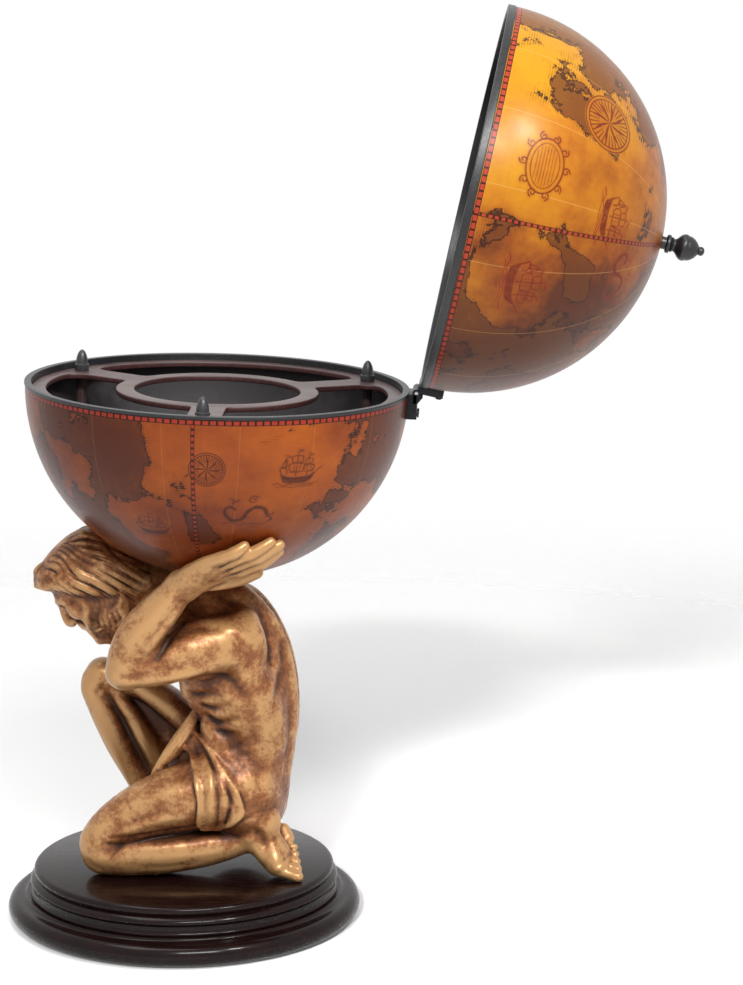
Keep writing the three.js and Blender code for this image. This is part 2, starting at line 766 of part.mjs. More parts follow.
function shell(holeRadius, edgeDrop) {
  const outside = wallArc(globeRadius, holeRadius, edgeDrop);
  const inside = wallArc(globeRadius - shellWall, holeRadius, edgeDrop);
  return [...outside, ...inside.reverse(), outside[0].clone()];
}

// What a shell and its rim fill, with a gap all round.
function plug(holeRadius, edgeDrop) {
  const lip = globeRadius + rimLip + gap;
  return [
    new THREE.Vector2(0, -globeRadius - gap), ...wallArc(globeRadius + gap, holeRadius, edgeDrop),
    ...outline([lip, -edgeDrop], [lip, overrun * 2], [0, overrun * 2]),
  ];
}

function flipped(points) {
  return points.map((point) => new THREE.Vector2(point.x, -point.y)).reverse();
}

function lowerShell() {
  const whole = turned(shell(studRadius + holeClearance, rimDrop), globeSegments);
  return surface(cut(solid(whole), hingeScrewHoles(lowerScrewHeight)));
}

const skirtOuter = Math.sqrt((globeRadius - shellWall) ** 2 - (rimDrop + skirtDepth) ** 2) - gap;
const rimInner = skirtOuter - skirtThickness;

function lowerRim() {
  const lip = globeRadius + rimLip;
  const lipBottom = rimTop - rimLipHeight;
  return turned(outline(
    [rimInner, lipBottom - skirtDepth], [skirtOuter, lipBottom - skirtDepth], [skirtOuter, lipBottom],
    [lip, lipBottom], [lip, rimTop - rimLip], [lip - rimLip, rimTop], [rimInner + rimLip, rimTop],
    [rimInner, rimTop - rimLip], [rimInner, lipBottom - skirtDepth],
  ), globeSegments);
}

function upperShell() {
  const whole = turned(flipped(shell(lidStudRadius + holeClearance, 0)), globeSegments);
  return surface(cut(solid(whole), hingeScrewHoles(upperScrewHeight)));
}

function upperRim() {
  const lip = globeRadius + rimLip;
  return turned(outline(
    [rimInner, -lidBandHeight + rimLip], [rimInner + rimLip, -lidBandHeight], [lip - rimLip, -lidBandHeight],
    [lip, -lidBandHeight + rimLip], [lip, -gap - rimLip], [lip - rimLip, -gap],
    [skirtOuter, -gap], [skirtOuter, skirtDepth], [rimInner, skirtDepth], [rimInner, -lidBandHeight + rimLip],
  ), globeSegments);
}

// Tray board with a round hole and three curved cut-outs between the posts.
const trayTop = rimTop - trayDrop;
const trayRadius = rimInner - gap;
const cutoutOuterRadius = trayRadius - trayRimWidth;
const cutoutInnerRadius = centreHoleRadius + holeBorder;
const postCircleRadius = globeRadius - shellWall - postInset;
const postAngles = (index) => -turn / 4 + (turn * index) / postCount;

function polar(radius, angle) {
  return new THREE.Vector2(radius * Math.cos(angle), radius * Math.sin(angle));
}

function cutout(middle) {
  const path = new THREE.Path();
  const halfSpan = turn / postCount / 2;
  const edge = (radius) => halfSpan - Math.asin(webWidth / 2 / radius);
  const [inner, outer] = [cutoutInnerRadius, cutoutOuterRadius];
  const outerBack = outer - cutoutOuterFillet;
  const innerBack = inner + cutoutInnerFillet;
  const outerEnd = edge(outer) - cutoutOuterFillet / outer;
  const innerEnd = edge(inner) - cutoutInnerFillet / inner;
  path.absarc(0, 0, outer, middle - outerEnd, middle + outerEnd, false);
  path.quadraticCurveTo(
    ...polar(outer, middle + edge(outer)).toArray(),
    ...polar(outerBack, middle + edge(outerBack)).toArray(),
  );
  path.lineTo(...polar(innerBack, middle + edge(innerBack)).toArray());
  path.quadraticCurveTo(
    ...polar(inner, middle + edge(inner)).toArray(),
    ...polar(inner, middle + innerEnd).toArray(),
  );
  path.absarc(0, 0, inner, middle + innerEnd, middle - innerEnd, true);
  path.quadraticCurveTo(
    ...polar(inner, middle - edge(inner)).toArray(),
    ...polar(innerBack, middle - edge(innerBack)).toArray(),
  );
  path.lineTo(...polar(outerBack, middle - edge(outerBack)).toArray());
  path.quadraticCurveTo(
    ...polar(outer, middle - edge(outer)).toArray(),
    ...polar(outer, middle - outerEnd).toArray(),
  );
  return new THREE.Path(path.getPoints(cutoutCurveSteps));
}

function circle(x, y, radius, segments) {
  return Array.from({ length: segments }, (_, index) => (
    polar(radius, (turn * index) / segments).add(new THREE.Vector2(x, y))
  ));
}

function trayBoard() {
  const board = new THREE.Shape(circle(0, 0, trayRadius, globeSegments));
  board.holes.push(new THREE.Path(circle(0, 0, centreHoleRadius, globeSegments)));
  for (let index = 0; index < postCount; index++) {
    const post = polar(postCircleRadius, postAngles(index));
    const hole = circle(post.x, post.y, finialShankRadius + holeClearance, smallSegments);
    board.holes.push(new THREE.Path(hole));
    board.holes.push(cutout(postAngles(index) + turn / postCount / 2));
  }
  const settings = { depth: boardThickness, bevelEnabled: false };
  return moved(new THREE.ExtrudeGeometry(board, settings), 0, 0, trayTop - boardThickness);
}

const shelfBottom = -globeRadius + shellWall + shelfStand;
const shelfTop = shelfBottom + boardThickness;

// The widest level circle and the deepest flat seat that clear the facets of the shell's inside.
const facetShare = Math.cos(turn / 8 / shellSteps) * Math.cos(turn / 2 / globeSegments);
const clearInside = (globeRadius - shellWall) * facetShare;

function wallReach(offset) {
  return Math.sqrt(clearInside ** 2 - offset ** 2) - gap;
}

// The radius of the bowl's faceted inside at one height.
function bowlInside(height) {
  const wall = wallArc(globeRadius - shellWall, studRadius + holeClearance, rimDrop);
  const above = wall.findIndex((point) => point.y > height);
  const [from, to] = [wall[above - 1], wall[above]];
  return from.clone().lerp(to, (height - from.y) / (to.y - from.y)).x;
}

function shelf() {
  const edge = [shelfBottom, shelfTop].map((height) => [bowlInside(height) - gap, height]);
  return turned(outline([0, shelfBottom], ...edge, [0, shelfTop]), globeSegments);
}

// Posts stand on the bowl's wall under the tray; the finials screw into them through the tray.
const postTop = trayTop - boardThickness - gap;

function trayPost(index) {
  const place = polar(postCircleRadius, postAngles(index));
  const post = moved(rod(postRadius, -globeRadius, postTop, smallSegments), place.x, place.y, 0);
  const socketBottom = trayTop - finialShankLength - holeClearance * 2;
  const socket = rod(finialShankRadius + holeClearance, socketBottom, postTop + overrun, smallSegments);
  const inside = ballArc(globeRadius - shellWall - gap, 0, turn / 4, shellSteps);
  const hollow = solid(turned([...inside, new THREE.Vector2(0, 0)], globeSegments));
  return surface(cut(solid(post).intersect(hollow), [moved(socket, place.x, place.y, 0)]));
}

const finialShares = [[1, 0], [1, 0.3], [0.86, 0.36], [0.8, 0.55], [0.6, 0.78], [0.34, 0.93], [0, 1]];

function trayFinial(index) {
  const place = polar(postCircleRadius, postAngles(index));
  const bullet = finialShares.map(([across, up]) => [across * finialRadius, gap + up * finialHeight]);
  const shank = [[0, -finialShankLength], [finialShankRadius, -finialShankLength], [finialShankRadius, gap]];
  const whole = turned(outline(...shank, ...bullet), smallSegments);
  return moved(whole, place.x, place.y, trayTop);
}

// Hinge. Profiles lie round the pin, x outward and z up, and run along Y.
const lidCentreAbovePin = lidRimAbovePin + lidBandHeight;
const lowerScrewHeight = hingePinHeight - leafSetback - leafHeight + hingeScrewSetback;
const upperScrewHeight = leafSetback + leafHeight - hingeScrewSetback - lidCentreAbovePin;
const screwHeadRadius = hingeScrewRadius * 1.7;
const screwHeadThickness = hingeScrewRadius;
const hingeNutRadius = hingeScrewRadius * 1.75;

function alongY(geometry, middle = 0) {
  geometry.rotateX(turn / 4);
  return moved(geometry, 0, middle, 0);
}

function alongX(geometry) {
  return geometry.rotateY(turn / 4);
}

function block(corners, width) {
  const shape = new THREE.Shape(corners.map(([x, z]) => new THREE.Vector2(x, z)));
  const settings = { depth: width, bevelEnabled: false };
  return alongY(new THREE.ExtrudeGeometry(shape, settings), width / 2);
}

function barrel(radius, width, middle) {
  return alongY(rod(radius, -width / 2, width / 2, smallSegments), middle);
}

function hingeScrewPlaces(make) {
  return [-1, 1].map((side) => make((side * hingeScrewSpread) / 2));
}

function hingeScrewHoles(height) {
  const hole = () => alongX(rod(hingeScrewRadius + holeClearance, 0, globeRadius + overrun * 2));
  return hingeScrewPlaces((y) => moved(hole(), 0, y, height));
}

function leaf(inward, outer, bottom, top, knuckles, spaces) {
  const plate = block([[-inward, bottom], [outer, bottom], [outer, top], [-inward, top]], leafWidth);
  const barrels = knuckles.map(([width, middle]) => barrel(knuckleRadius, width, middle));
  const room = spaces.map(([width, middle]) => barrel(knuckleRadius + holeClearance, width, middle));
  const pinHole = barrel(hingePinRadius + holeClearance, leafWidth + overrun, 0);
  return [joined([plate, ...barrels]), [...room, pinHole]];
}

const knuckleWidth = leafWidth / 3;
const outerKnuckles = [-1, 1].map((side) => [knuckleWidth - gap, side * (knuckleWidth + gap / 2)]);
const middleKnuckle = [[knuckleWidth - gap, 0]];
const outerSpaces = [-1, 1].map((side) => [knuckleWidth + gap * 2, side * (knuckleWidth + gap / 2)]);
const middleSpace = [[knuckleWidth + gap, 0]];

function stopLug() {
  const slope = Math.tan(radians(openAngle - 90));
  const lineAt = (x) => -x * slope - gap;
  const tip = lowerLeafOffset + stopLugReach;
  const corners = [
    [-knuckleRadius, -stopLugHeight], [lowerLeafOffset, -stopLugHeight],
    [tip, lineAt(tip) - stopLugReach / 2],
    [tip, lineAt(tip)], [-knuckleRadius, lineAt(0)],
  ];
  return block(corners, leafWidth);
}

function lowerLeaf() {
  const inward = hingePinCircle - globeRadius + shellWall * 2;
  const [plate, cuts] = leaf(
    inward, lowerLeafOffset, -leafSetback - leafHeight, -leafSetback, outerKnuckles, middleSpace,
  );
  const body = plate.add(solid(stopLug()));
  const toPin = [-hingePinCircle, 0, -hingePinHeight];
  const screws = hingeScrewHoles(lowerScrewHeight);
  const seats = [bowlPlug(), ...screws].map((tool) => tool.translate(...toPin));
  return surface(cut(body, [...cuts, ...seats]));
}

function upperLeaf() {
  const inward = hingePinCircle - globeRadius + shellWall * 2;
  const [plate, cuts] = leaf(
    inward, -upperLeafOffset, leafSetback, leafSetback + leafHeight, middleKnuckle, outerSpaces,
  );
  const toPin = [-hingePinCircle, 0, lidCentreAbovePin];
  const dome = turned(flipped(plug(lidStudRadius + holeClearance, 0)), globeSegments);
  const screws = hingeScrewHoles(upperScrewHeight);
  const seats = [dome, ...screws].map((tool) => tool.translate(...toPin));
  return surface(cut(plate, [...cuts, ...seats]));
}

function hingeScrews(height, outerFace) {
  const nutInner = nutFace(height) - hingeNutThickness - hingeScrewRadius;
  return hingeScrewPlaces((y) => {
    const head = alongX(rod(screwHeadRadius, outerFace + gap, outerFace + gap + screwHeadThickness));
    const shank = alongX(rod(hingeScrewRadius, nutInner, outerFace + gap + screwHeadThickness / 2));
    return moved(surface(joined([head, shank])), 0, y, height);
  });
}

function nutFace(height) {
  return wallReach(Math.hypot(hingeScrewSpread / 2 + hingeNutRadius, Math.abs(height) + hingeNutRadius));
}

function hexNut(bore, radius, bottom, thickness) {
  const inner = (bore + gap) / Math.cos(turn / 12);
  return ring(inner, radius, bottom, bottom + thickness, 6);
}

function hingeNuts(height) {
  const face = nutFace(height);
  return hingeScrewPlaces((y) => (
    moved(alongX(hexNut(hingeScrewRadius, hingeNutRadius, face - hingeNutThickness, hingeNutThickness)),
      0, y, height)
  ));
}

// Lid finial, turned round the lid's axis.
const lidFinialShares = [
  [0.48, 0], [0.46, 0.1], [0.69, 0.13], [0.69, 0.19], [0.5, 0.21], [0.59, 0.24], [0.46, 0.29], [0.62, 0.36],
  [0.95, 0.46], [1, 0.52], [1, 0.56], [0.93, 0.58], [0.9, 0.66], [0.62, 0.79], [0.3, 0.86], [0.34, 0.92],
  [0.24, 0.98], [0, 1],
];

function lidFinial() {
  const socket = lidStudRadius + gap;
  const depth = lidStudInFinial + gap * 2;
  const profile = lidFinialShares.map(([across, up]) => [across * lidFinialRadius, up * lidFinialLength]);
  const points = outline([0, depth], [socket, depth], [socket, 0], ...profile);
  return moved(turned(points, smallSegments), 0, 0, globeRadius + gap);
}

// The assembly.
const plinth = new THREE.Group();
const feltRadius = lowerTierRadius - torusRadius - feltInset;
const plinthScrews = plinthScrewPlaces(
  (x, y) => moved(woodScrew(woodScrewLength), x, y, lowerTierBottom + gap),
);
plinth.add(
  piece('base_felt', rod(feltRadius, 0, feltThickness, plinthSegments), blackFelt),
  piece('plinth_lower', lowerTier(), lacquer),
  piece('plinth_upper', upperTier(), lacquer),
  ...pieces('plinth_screw', plinthScrews, zincSteel),
  ...pieces('figure_bolt', boltPlaces.map(([x, y]) => figureBolt(x, y)), zincSteel),
  ...pieces('figure_washer', boltPlaces.map(([x, y]) => figureWasher(x, y)), zincSteel),
  piece('kneeling_figure', figure(), bronzeResin),
);

const globe = new THREE.Group();
globe.position.copy(globeCentre);
globe.quaternion.copy(lean);
const washerBottom = -wallReach(washerRadius);
const studTop = washerBottom + studProtrusion;
const nutBottom = washerBottom + washerThickness + gap;
globe.add(
  piece('lower_shell', lowerShell(), bowlPrint),
  piece('lower_rim', lowerRim(), blackRim),
  piece('globe_stud', rod(studRadius, -globeRadius - studDepth, studTop), zincSteel),
  piece('globe_washer', washer(studRadius, washerRadius, washerBottom, washerThickness), zincSteel),
  piece('globe_nut', hexNut(studRadius, nutRadius, nutBottom, nutThickness), zincSteel),
  piece('tray_shelf', shelf(), darkBoard),
  piece('tray_top', trayBoard(), darkBoard),
);
for (let index = 0; index < postCount; index++) {
  globe.add(piece(`tray_post_${index + 1}`, trayPost(index), darkBoard));
  globe.add(piece(`tray_finial_${index + 1}`, trayFinial(index), blackRim));
}
const lowerLeafMesh = piece('hinge_lower_leaf', lowerLeaf(), blackMetal);
lowerLeafMesh.position.set(hingePinCircle, 0, hingePinHeight);
const pinMesh = piece('hinge_pin', barrel(hingePinRadius, leafWidth, 0), zincSteel);
pinMesh.position.copy(lowerLeafMesh.position);
const lowerScrews = hingeScrews(lowerScrewHeight, hingePinCircle + lowerLeafOffset);
globe.add(
  lowerLeafMesh,
  pinMesh,
  ...pieces('hinge_lower_screw', lowerScrews, blackMetal),
  ...pieces('hinge_lower_nut', hingeNuts(lowerScrewHeight), zincSteel),
);

// The lid turns about the hinge pin; it is modelled open, resting on the hinge's stop.
const lid = new THREE.Group();
lid.position.copy(lowerLeafMesh.position);
lid.rotation.y = radians(openAngle);
const dome = new THREE.Group();
dome.position.set(-hingePinCircle, 0, lidCentreAbovePin);
const lidSeat = wallReach(washerRadius);
const lidNutTop = lidSeat - washerThickness - gap;
const lidNutRadius = lidStudRadius * 2;
const lidStud = rod(lidStudRadius, lidSeat - lidStudProtrusion, globeRadius + lidStudInFinial);
const lidWasher = washer(lidStudRadius, washerRadius, lidSeat - washerThickness, washerThickness);
const lidNut = hexNut(lidStudRadius, lidNutRadius, lidNutTop - lidNutThickness, lidNutThickness);
const upperScrews = hingeScrews(upperScrewHeight, hingePinCircle - upperLeafOffset);
dome.add(
  piece('upper_shell', upperShell(), lidPrint),
  piece('upper_rim', upperRim(), blackRim),
  ...pieces('hinge_upper_screw', upperScrews, blackMetal),
  ...pieces('hinge_upper_nut', hingeNuts(upperScrewHeight), zincSteel),
  piece('lid_finial', lidFinial(), blackRim),
  piece('finial_stud', lidStud, zincSteel),
  piece('finial_washer', lidWasher, zincSteel),
  piece('finial_nut', lidNut, zincSteel),
);
lid.add(piece('hinge_upper_leaf', upperLeaf(), blackMetal), dome);
globe.add(lid);

const part = new THREE.Group();
part.add(plinth, globe);

export default part;
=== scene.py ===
from math import asin, copysign, cos, degrees, pi, radians, sin, tan, tau

import bmesh
import bpy
import numpy as np
import openvdb as vdb
from mathutils import Matrix, Vector


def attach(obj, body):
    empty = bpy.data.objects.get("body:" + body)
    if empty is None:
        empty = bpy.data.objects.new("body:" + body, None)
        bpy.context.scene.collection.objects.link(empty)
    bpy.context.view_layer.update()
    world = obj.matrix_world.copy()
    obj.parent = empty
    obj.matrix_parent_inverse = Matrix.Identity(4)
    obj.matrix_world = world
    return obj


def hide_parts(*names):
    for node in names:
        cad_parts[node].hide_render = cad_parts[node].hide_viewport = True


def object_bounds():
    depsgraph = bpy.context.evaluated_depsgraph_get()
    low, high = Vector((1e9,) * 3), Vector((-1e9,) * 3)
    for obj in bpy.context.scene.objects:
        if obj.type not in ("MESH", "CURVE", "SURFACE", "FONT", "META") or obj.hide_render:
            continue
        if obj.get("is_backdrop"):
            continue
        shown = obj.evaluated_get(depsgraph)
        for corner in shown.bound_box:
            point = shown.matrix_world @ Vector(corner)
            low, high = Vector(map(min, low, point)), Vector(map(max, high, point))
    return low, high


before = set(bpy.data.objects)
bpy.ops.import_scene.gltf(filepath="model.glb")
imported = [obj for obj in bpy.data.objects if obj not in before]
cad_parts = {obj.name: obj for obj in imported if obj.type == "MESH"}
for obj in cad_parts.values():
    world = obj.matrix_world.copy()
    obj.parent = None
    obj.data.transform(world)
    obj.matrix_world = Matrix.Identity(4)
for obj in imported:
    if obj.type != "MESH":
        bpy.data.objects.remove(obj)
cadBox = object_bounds()
scene = bpy.context.scene
mm = 0.001

# where the leaning globe and the open lid are, in mm
globePlace = {"centre": (43.186, 0, 605.621), "lean": 1.93, "radius": 210, "wall": 4}
hingePlace = {"pinReach": 218.5, "pinHeight": 2.3, "open": 100.9, "domeDrop": 10.3}
plinthTop = 61.6

globeFrame = (Matrix.Translation(globePlace["centre"])
              @ Matrix.Rotation(radians(globePlace["lean"]), 4, "Y"))
pinSpot = globeFrame @ Matrix.Translation((hingePlace["pinReach"], 0, hingePlace["pinHeight"]))
pinFrame = pinSpot @ Matrix.Rotation(radians(hingePlace["open"]), 4, "Y")
domeFrame = pinFrame @ Matrix.Translation((-hingePlace["pinReach"], 0, hingePlace["domeDrop"]))


# materials: colours and nodes

def linear(code):
    parts = [int(code[i:i + 2], 16) / 255 for i in (1, 3, 5)]
    return [*(p / 12.92 if p <= 0.04045 else ((p + 0.055) / 1.055) ** 2.4 for p in parts), 1.0]


# one node: each value is a socket to link, a setting of the node or a constant of its input
def addNode(tree, kind, values=None, out=0, stops=()):
    node = tree.nodes.new("ShaderNode" + kind)
    for name, value in (values or {}).items():
        if isinstance(value, bpy.types.NodeSocket):
            tree.links.new(value, node.inputs[name])
        elif isinstance(name, str) and hasattr(node, name):
            setattr(node, name, value)
        else:
            node.inputs[name].default_value = linear(value) if isinstance(value, str) else value
    if stops:
        ramp = node.color_ramp.elements
        while len(ramp) < len(stops):
            ramp.new(0.5)
        for element, (place, colour) in zip(ramp, stops):
            element.position = place
            element.color = linear(colour)
    return node.outputs[out]


def mathNode(tree, operation, *parts, clamp=False):
    return addNode(tree, "Math", {"operation": operation, "use_clamp": clamp,
                                  **dict(enumerate(parts))})


def noiseNode(tree, place, scale, detail, roughness, **more):
    return addNode(tree, "TexNoise", {"Scale": scale, "Detail": detail, "Roughness": roughness,
                                      "Vector": place, **more})


def attributeNode(tree, name):
    return addNode(tree, "Attribute", {"attribute_name": name}, "Fac")


# the second colour over the first by an amount
def mixNode(tree, amount, first, second):
    return addNode(tree, "Mix", {"data_type": "RGBA", 0: amount, 6: first, 7: second}, 2)


def newMaterial(name, values):
    material = bpy.data.materials.new(name)
    material.use_nodes = True
    tree = material.node_tree
    shader = tree.nodes["Principled BSDF"]
    for key, value in values.items():
        shader.inputs[key].default_value = value
    return material, tree, shader


# colour, roughness from low to high over the spread, and the height of a fine relief
def finishShader(tree, shader, colour, gloss, spread, relief):
    rough = addNode(tree, "MapRange",
                    {1: spread[0], 2: spread[1], 3: gloss[1], 4: gloss[2], 0: gloss[0]})
    bump = addNode(tree, "Bump", {"Strength": relief[1], "Distance": relief[2] * mm,
                                  "Height": relief[0]})
    for socket, name in ((colour, "Base Color"), (rough, "Roughness"), (bump, "Normal")):
        tree.links.new(socket, shader.inputs[name])


def dress(piece, material):
    piece.data.materials.clear()
    piece.data.materials.append(material)


# cast resin in antique bronze paint: worn gold on the high parts, copper blotches, a brown patina
# wash in the hollows and near-black in the creases, under a soft clear coat. The darkening in the
# hollows and creases is partly that wash and partly painted shade
bronzeLook = {"gold": "#c49562", "copper": "#935d37", "brown": "#58321d", "washAndShade": "#22120b",
              "blotch": 26, "fleck": 5, "blotchShare": 0.75, "fleckShare": 0.55,
              "hollowWashAndShade": 0.42, "creaseFrom": 0.12, "creaseTo": 0.75, "creaseWashAndShade": 0.9}


def bronzePaint(look):
    material, tree, shader = newMaterial("antiqueBronzePaintWithShade", {
        "Metallic": 0.3, "Specular IOR Level": 0.25, "Coat Weight": 0.16, "Coat Roughness": 0.22,
        "Coat IOR": 1.45})
    place = addNode(tree, "TexCoord", out="Object")
    blotch = noiseNode(tree, place, 1 / (look["blotch"] * mm), 5, 0.6)
    fleck = noiseNode(tree, place, 1 / (look["fleck"] * mm), 4, 0.7)
    tone = mathNode(tree, "MULTIPLY_ADD", fleck, look["fleckShare"], 0.0)
    tone = mathNode(tree, "MULTIPLY_ADD", blotch, look["blotchShare"], tone)
    # the hollows turn towards brown: partly patina wash, partly painted shade
    tone = mathNode(tree, "MULTIPLY_ADD", attributeNode(tree, "hollow"), look["hollowWashAndShade"], tone)
    paint = addNode(tree, "ValToRGB", {0: tone}, stops=[
        (0.42, look["gold"]), (0.6, look["copper"]), (0.82, look["brown"])])
    # the creases turn near-black: partly patina wash, partly painted shade
    creaseWashShadeMix = addNode(tree, "MapRange",
                   {1: look["creaseFrom"], 2: look["creaseTo"], 4: look["creaseWashAndShade"],
                    "interpolation_type": "SMOOTHSTEP", 0: attributeNode(tree, "crease")})
    paint = mixNode(tree, creaseWashShadeMix, paint, look["washAndShade"])
    finishShader(tree, shader, paint, (tone, 0.30, 0.55), (0.3, 0.8), (fleck, 0.25, 0.4))
    return material


bronze = bronzePaint(bronzeLook)
print("bronze ready")

# how a mottle runs: stretch, octaves, light stop, range of roughness, height of its relief
woodGrain = {"stretch": 0.12, "detail": 6, "rough": 0.65, "stop": 0.7, "gloss": (0.8, 1.25),
             "relief": 0.2}
evenGrain = {"stretch": 1, "detail": 5, "rough": 0.6, "stop": 0.65, "gloss": (0.85, 1.2),
             "relief": 0.15}


def surfaceLook(name, light, deep, roughness, speck=3.0, strength=0.1, grain=evenGrain,
                values=None):
    material, tree, shader = newMaterial(name, {"Roughness": roughness, **(values or {})})
    place = addNode(tree, "Mapping", {"Scale": (grain["stretch"], 1, 1),
                                      "Vector": addNode(tree, "TexCoord", out="Object")})
    mottle = noiseNode(tree, place, 1 / (speck * mm), grain["detail"], grain["rough"])
    colour = addNode(tree, "ValToRGB", {0: mottle}, stops=[(0.35, deep), (grain["stop"], light)])
    low, high = grain["gloss"]
    finishShader(tree, shader, colour, (mottle, roughness * low, roughness * high), (0.3, 0.7),
                 (mottle, strength, grain["relief"]))
    return material


# turned hardwood under a near-black red-brown lacquer with a soft, wide gloss
lacquer = surfaceLook("mahoganyLacquer", "#1e0d0c", "#130807", 0.26, 8.8, 0.08, woodGrain, {
    "Specular IOR Level": 0.06, "Coat Weight": 0.24, "Coat Roughness": 0.12})
# greyish brown stained board, low gloss, with a faint grain
boardStain = surfaceLook("darkStainedBoard", "#5d4a47", "#43312f", 0.42, 12, 0.08, woodGrain, {
    "Coat Weight": 0.1, "Coat Roughness": 0.12})
# near-black satin paint of the rims and the lid's finial: a grey sheen along the curves
blackSatin = surfaceLook("blackSatinPaint", "#202023", "#141416", 0.36)
# blackened steel of the hinge: darker than paint, with a harder shine
blackHinge = surfaceLook("blackPlatedSteel", "#26262a", "#121214", 0.34, 2.0, 0.15,
                         values={"Metallic": 0.7})
# pale bluish grey zinc on the hidden screws and nuts
zinc = surfaceLook("zincPlatedSteel", "#c3c5c8", "#9b9da1", 0.32, values={"Metallic": 1.0})
# black felt without any shine, its nap catching a little light at the edge
felt = surfaceLook("blackWoolFelt", "#232326", "#0e0e10", 0.95, 1.2, 0.9,
                   values={"Sheen Weight": 0.3})
# the shells' inner walls: dull charcoal paper
lining = surfaceLook("charcoalLining", "#353033", "#252123", 0.6, 9.0)
# the sawn walls of the board, redder than its face
cutEdge = surfaceLook("stainedCutEdge", "#4b2927", "#331b1b", 0.45)
# dark warm grey of the board's finials
finialPaint = surfaceLook("greySatinPaint", "#3b393b", "#2a292b", 0.34)


# turned pieces

# the mesh in mm becomes a piece of the body, smooth except over the sharp angle in degrees
def finishPiece(name, mesh, body, material, nodes=(), place=None, sharp=None):
    if place is not None:
        mesh.transform(place)
    mesh.transform(Matrix.Scale(mm, 4))
    for face in mesh.polygons:
        face.use_smooth = True
    if sharp is not None:
        mesh.set_sharp_from_angle(angle=radians(sharp))
    piece = bpy.data.objects.new(name, mesh)
    scene.collection.objects.link(piece)
    dress(piece, material)
    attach(piece, body)
    if nodes:
        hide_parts(*nodes)
    return piece


def bakeMesh(work, mesh):
    mesh = bpy.data.meshes.new(mesh) if isinstance(mesh, str) else mesh
    work.to_mesh(mesh)
    work.free()
    return mesh


# a profile of (radius, height) in mm, spun round the Z axis
def turnedMesh(name, profile, segments=128, closed=False):
    work = bmesh.new()
    corners = [work.verts.new((reach, 0, z)) for reach, z in profile]
    edges = [work.edges.new(pair) for pair in zip(corners, corners[1:])]
    if closed:
        edges.append(work.edges.new((corners[-1], corners[0])))
    bmesh.ops.spin(work, geom=corners + edges, cent=(0, 0, 0), axis=(0, 0, 1), angle=tau,
                   steps=segments, use_merge=True)
    bmesh.ops.remove_doubles(work, verts=work.verts, dist=0.001)
    bmesh.ops.recalc_face_normals(work, faces=work.faces)
    return bakeMesh(work, name)


def arcPoints(centre, radius, start, end, count=8):
    angles = [radians(start + (end - start) * i / (count - 1)) for i in range(count)]
    return [(centre[0] + radius * cos(a), centre[1] + radius * sin(a)) for a in angles]


def bendPoints(start, control, end, count=10):
    bend = lambda t, a, b, c: a * (1 - t) ** 2 + 2 * b * t * (1 - t) + c * t * t
    return [tuple(bend(i / count, *row) for row in zip(start, control, end))
            for i in range(count + 1)]


# plinth: a lower tier with a torus edge, an upper tier with a cove, a bead and a top plate
plinth = {"bottom": 2.3, "top": 30.3, "radius": 198.5, "torus": 12, "neck": 177,
          "upperBottom": 30.6, "upperRadius": 173.5, "cove": 3.5, "plate": 166.7, "height": 31,
          "segments": 160, "sharp": 40}


def lowerTierProfile():
    bottom, torus, neck = (plinth[key] for key in ("bottom", "torus", "neck"))
    shoulder, ledge = plinth["radius"] - torus, bottom + 2 * torus
    return [(0, bottom), *arcPoints((shoulder, bottom + torus), torus, -90, 90, 20),
            *bendPoints((shoulder, ledge), (neck, ledge), (neck, plinth["top"]), 6)[1:],
            (0, plinth["top"])]


def upperTierProfile():
    low, radius, plate = (plinth[key] for key in ("upperBottom", "upperRadius", "plate"))
    bead, inner = plinth["height"] / 3, radius - plinth["cove"]
    return [(0, low), (radius - 0.8, low), (radius, low + 0.8),
            *bendPoints((radius, low + 1.2), (inner, low + 0.8), (inner, low + bead), 8),
            *bendPoints((radius - bead / 4, low + bead), (radius + bead / 3, low + bead * 1.5),
                        (plate, low + bead * 2), 10),
            *bendPoints((plate, low + bead * 2), (plate + bead / 2, plinthTop - bead / 4),
                        (plate - bead / 4, plinthTop), 8)[1:],
            (0, plinthTop)]


for name, profile, node in (("plinthLowerTier", lowerTierProfile(), "plinth_lower"),
                            ("plinthUpperTier", upperTierProfile(), "plinth_upper")):
    finishPiece(name, turnedMesh(name, profile, plinth["segments"]), "stand", lacquer, [node],
                sharp=plinth["sharp"])
dress(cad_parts["base_felt"], felt)
print("plinth ready")


# clay: a field of distances on a voxel grid, worked like modelling clay, in mm

def newClay(low, high, step):
    low = np.array(low, np.float32)
    count = np.ceil((np.array(high) - low) / step).astype(int) + 1
    return {"low": low, "step": step, "field": np.full(count, 60.0, np.float32)}


# the places of the voxels along each axis
def clayAxes(clay, first, last):
    return [low + clay["step"] * np.arange(a, b, dtype=np.float32)
            for low, a, b in zip(clay["low"], first, last)]


def spread(x, y, z):
    return x[:, None, None], y[None, :, None], z[None, None, :]


def between(first, last):
    return tuple(slice(a, b) for a, b in zip(first, last))


def clayWindow(clay, low, high):
    shape = clay["field"].shape
    first = np.clip(np.floor((low - clay["low"]) / clay["step"]).astype(int), 0, shape)
    last = np.clip(np.ceil((high - clay["low"]) / clay["step"]).astype(int) + 1, 0, shape)
    return first, last, spread(*clayAxes(clay, first, last))


# points of a smooth curve through the rows, sizes included
def smoothRows(rows, steps):
    rows = np.array(rows, float)
    if len(rows) < 3:
        shares = np.linspace(0, 1, steps + 1)[:, None]
        return rows[0] + (rows[1] - rows[0]) * shares
    padded = np.vstack([2 * rows[0] - rows[1], rows, 2 * rows[-1] - rows[-2]])
    found = []
    for i in range(len(rows) - 1):
        a, b, c, d = padded[i:i + 4]
        for t in np.arange(steps) / steps:
            found.append(0.5 * (2 * b + (c - a) * t + (2 * a - 5 * b + 4 * c - d) * t * t
                                + (3 * b - 3 * c + d - a) * t ** 3))
    return np.array(found + [rows[-1]])


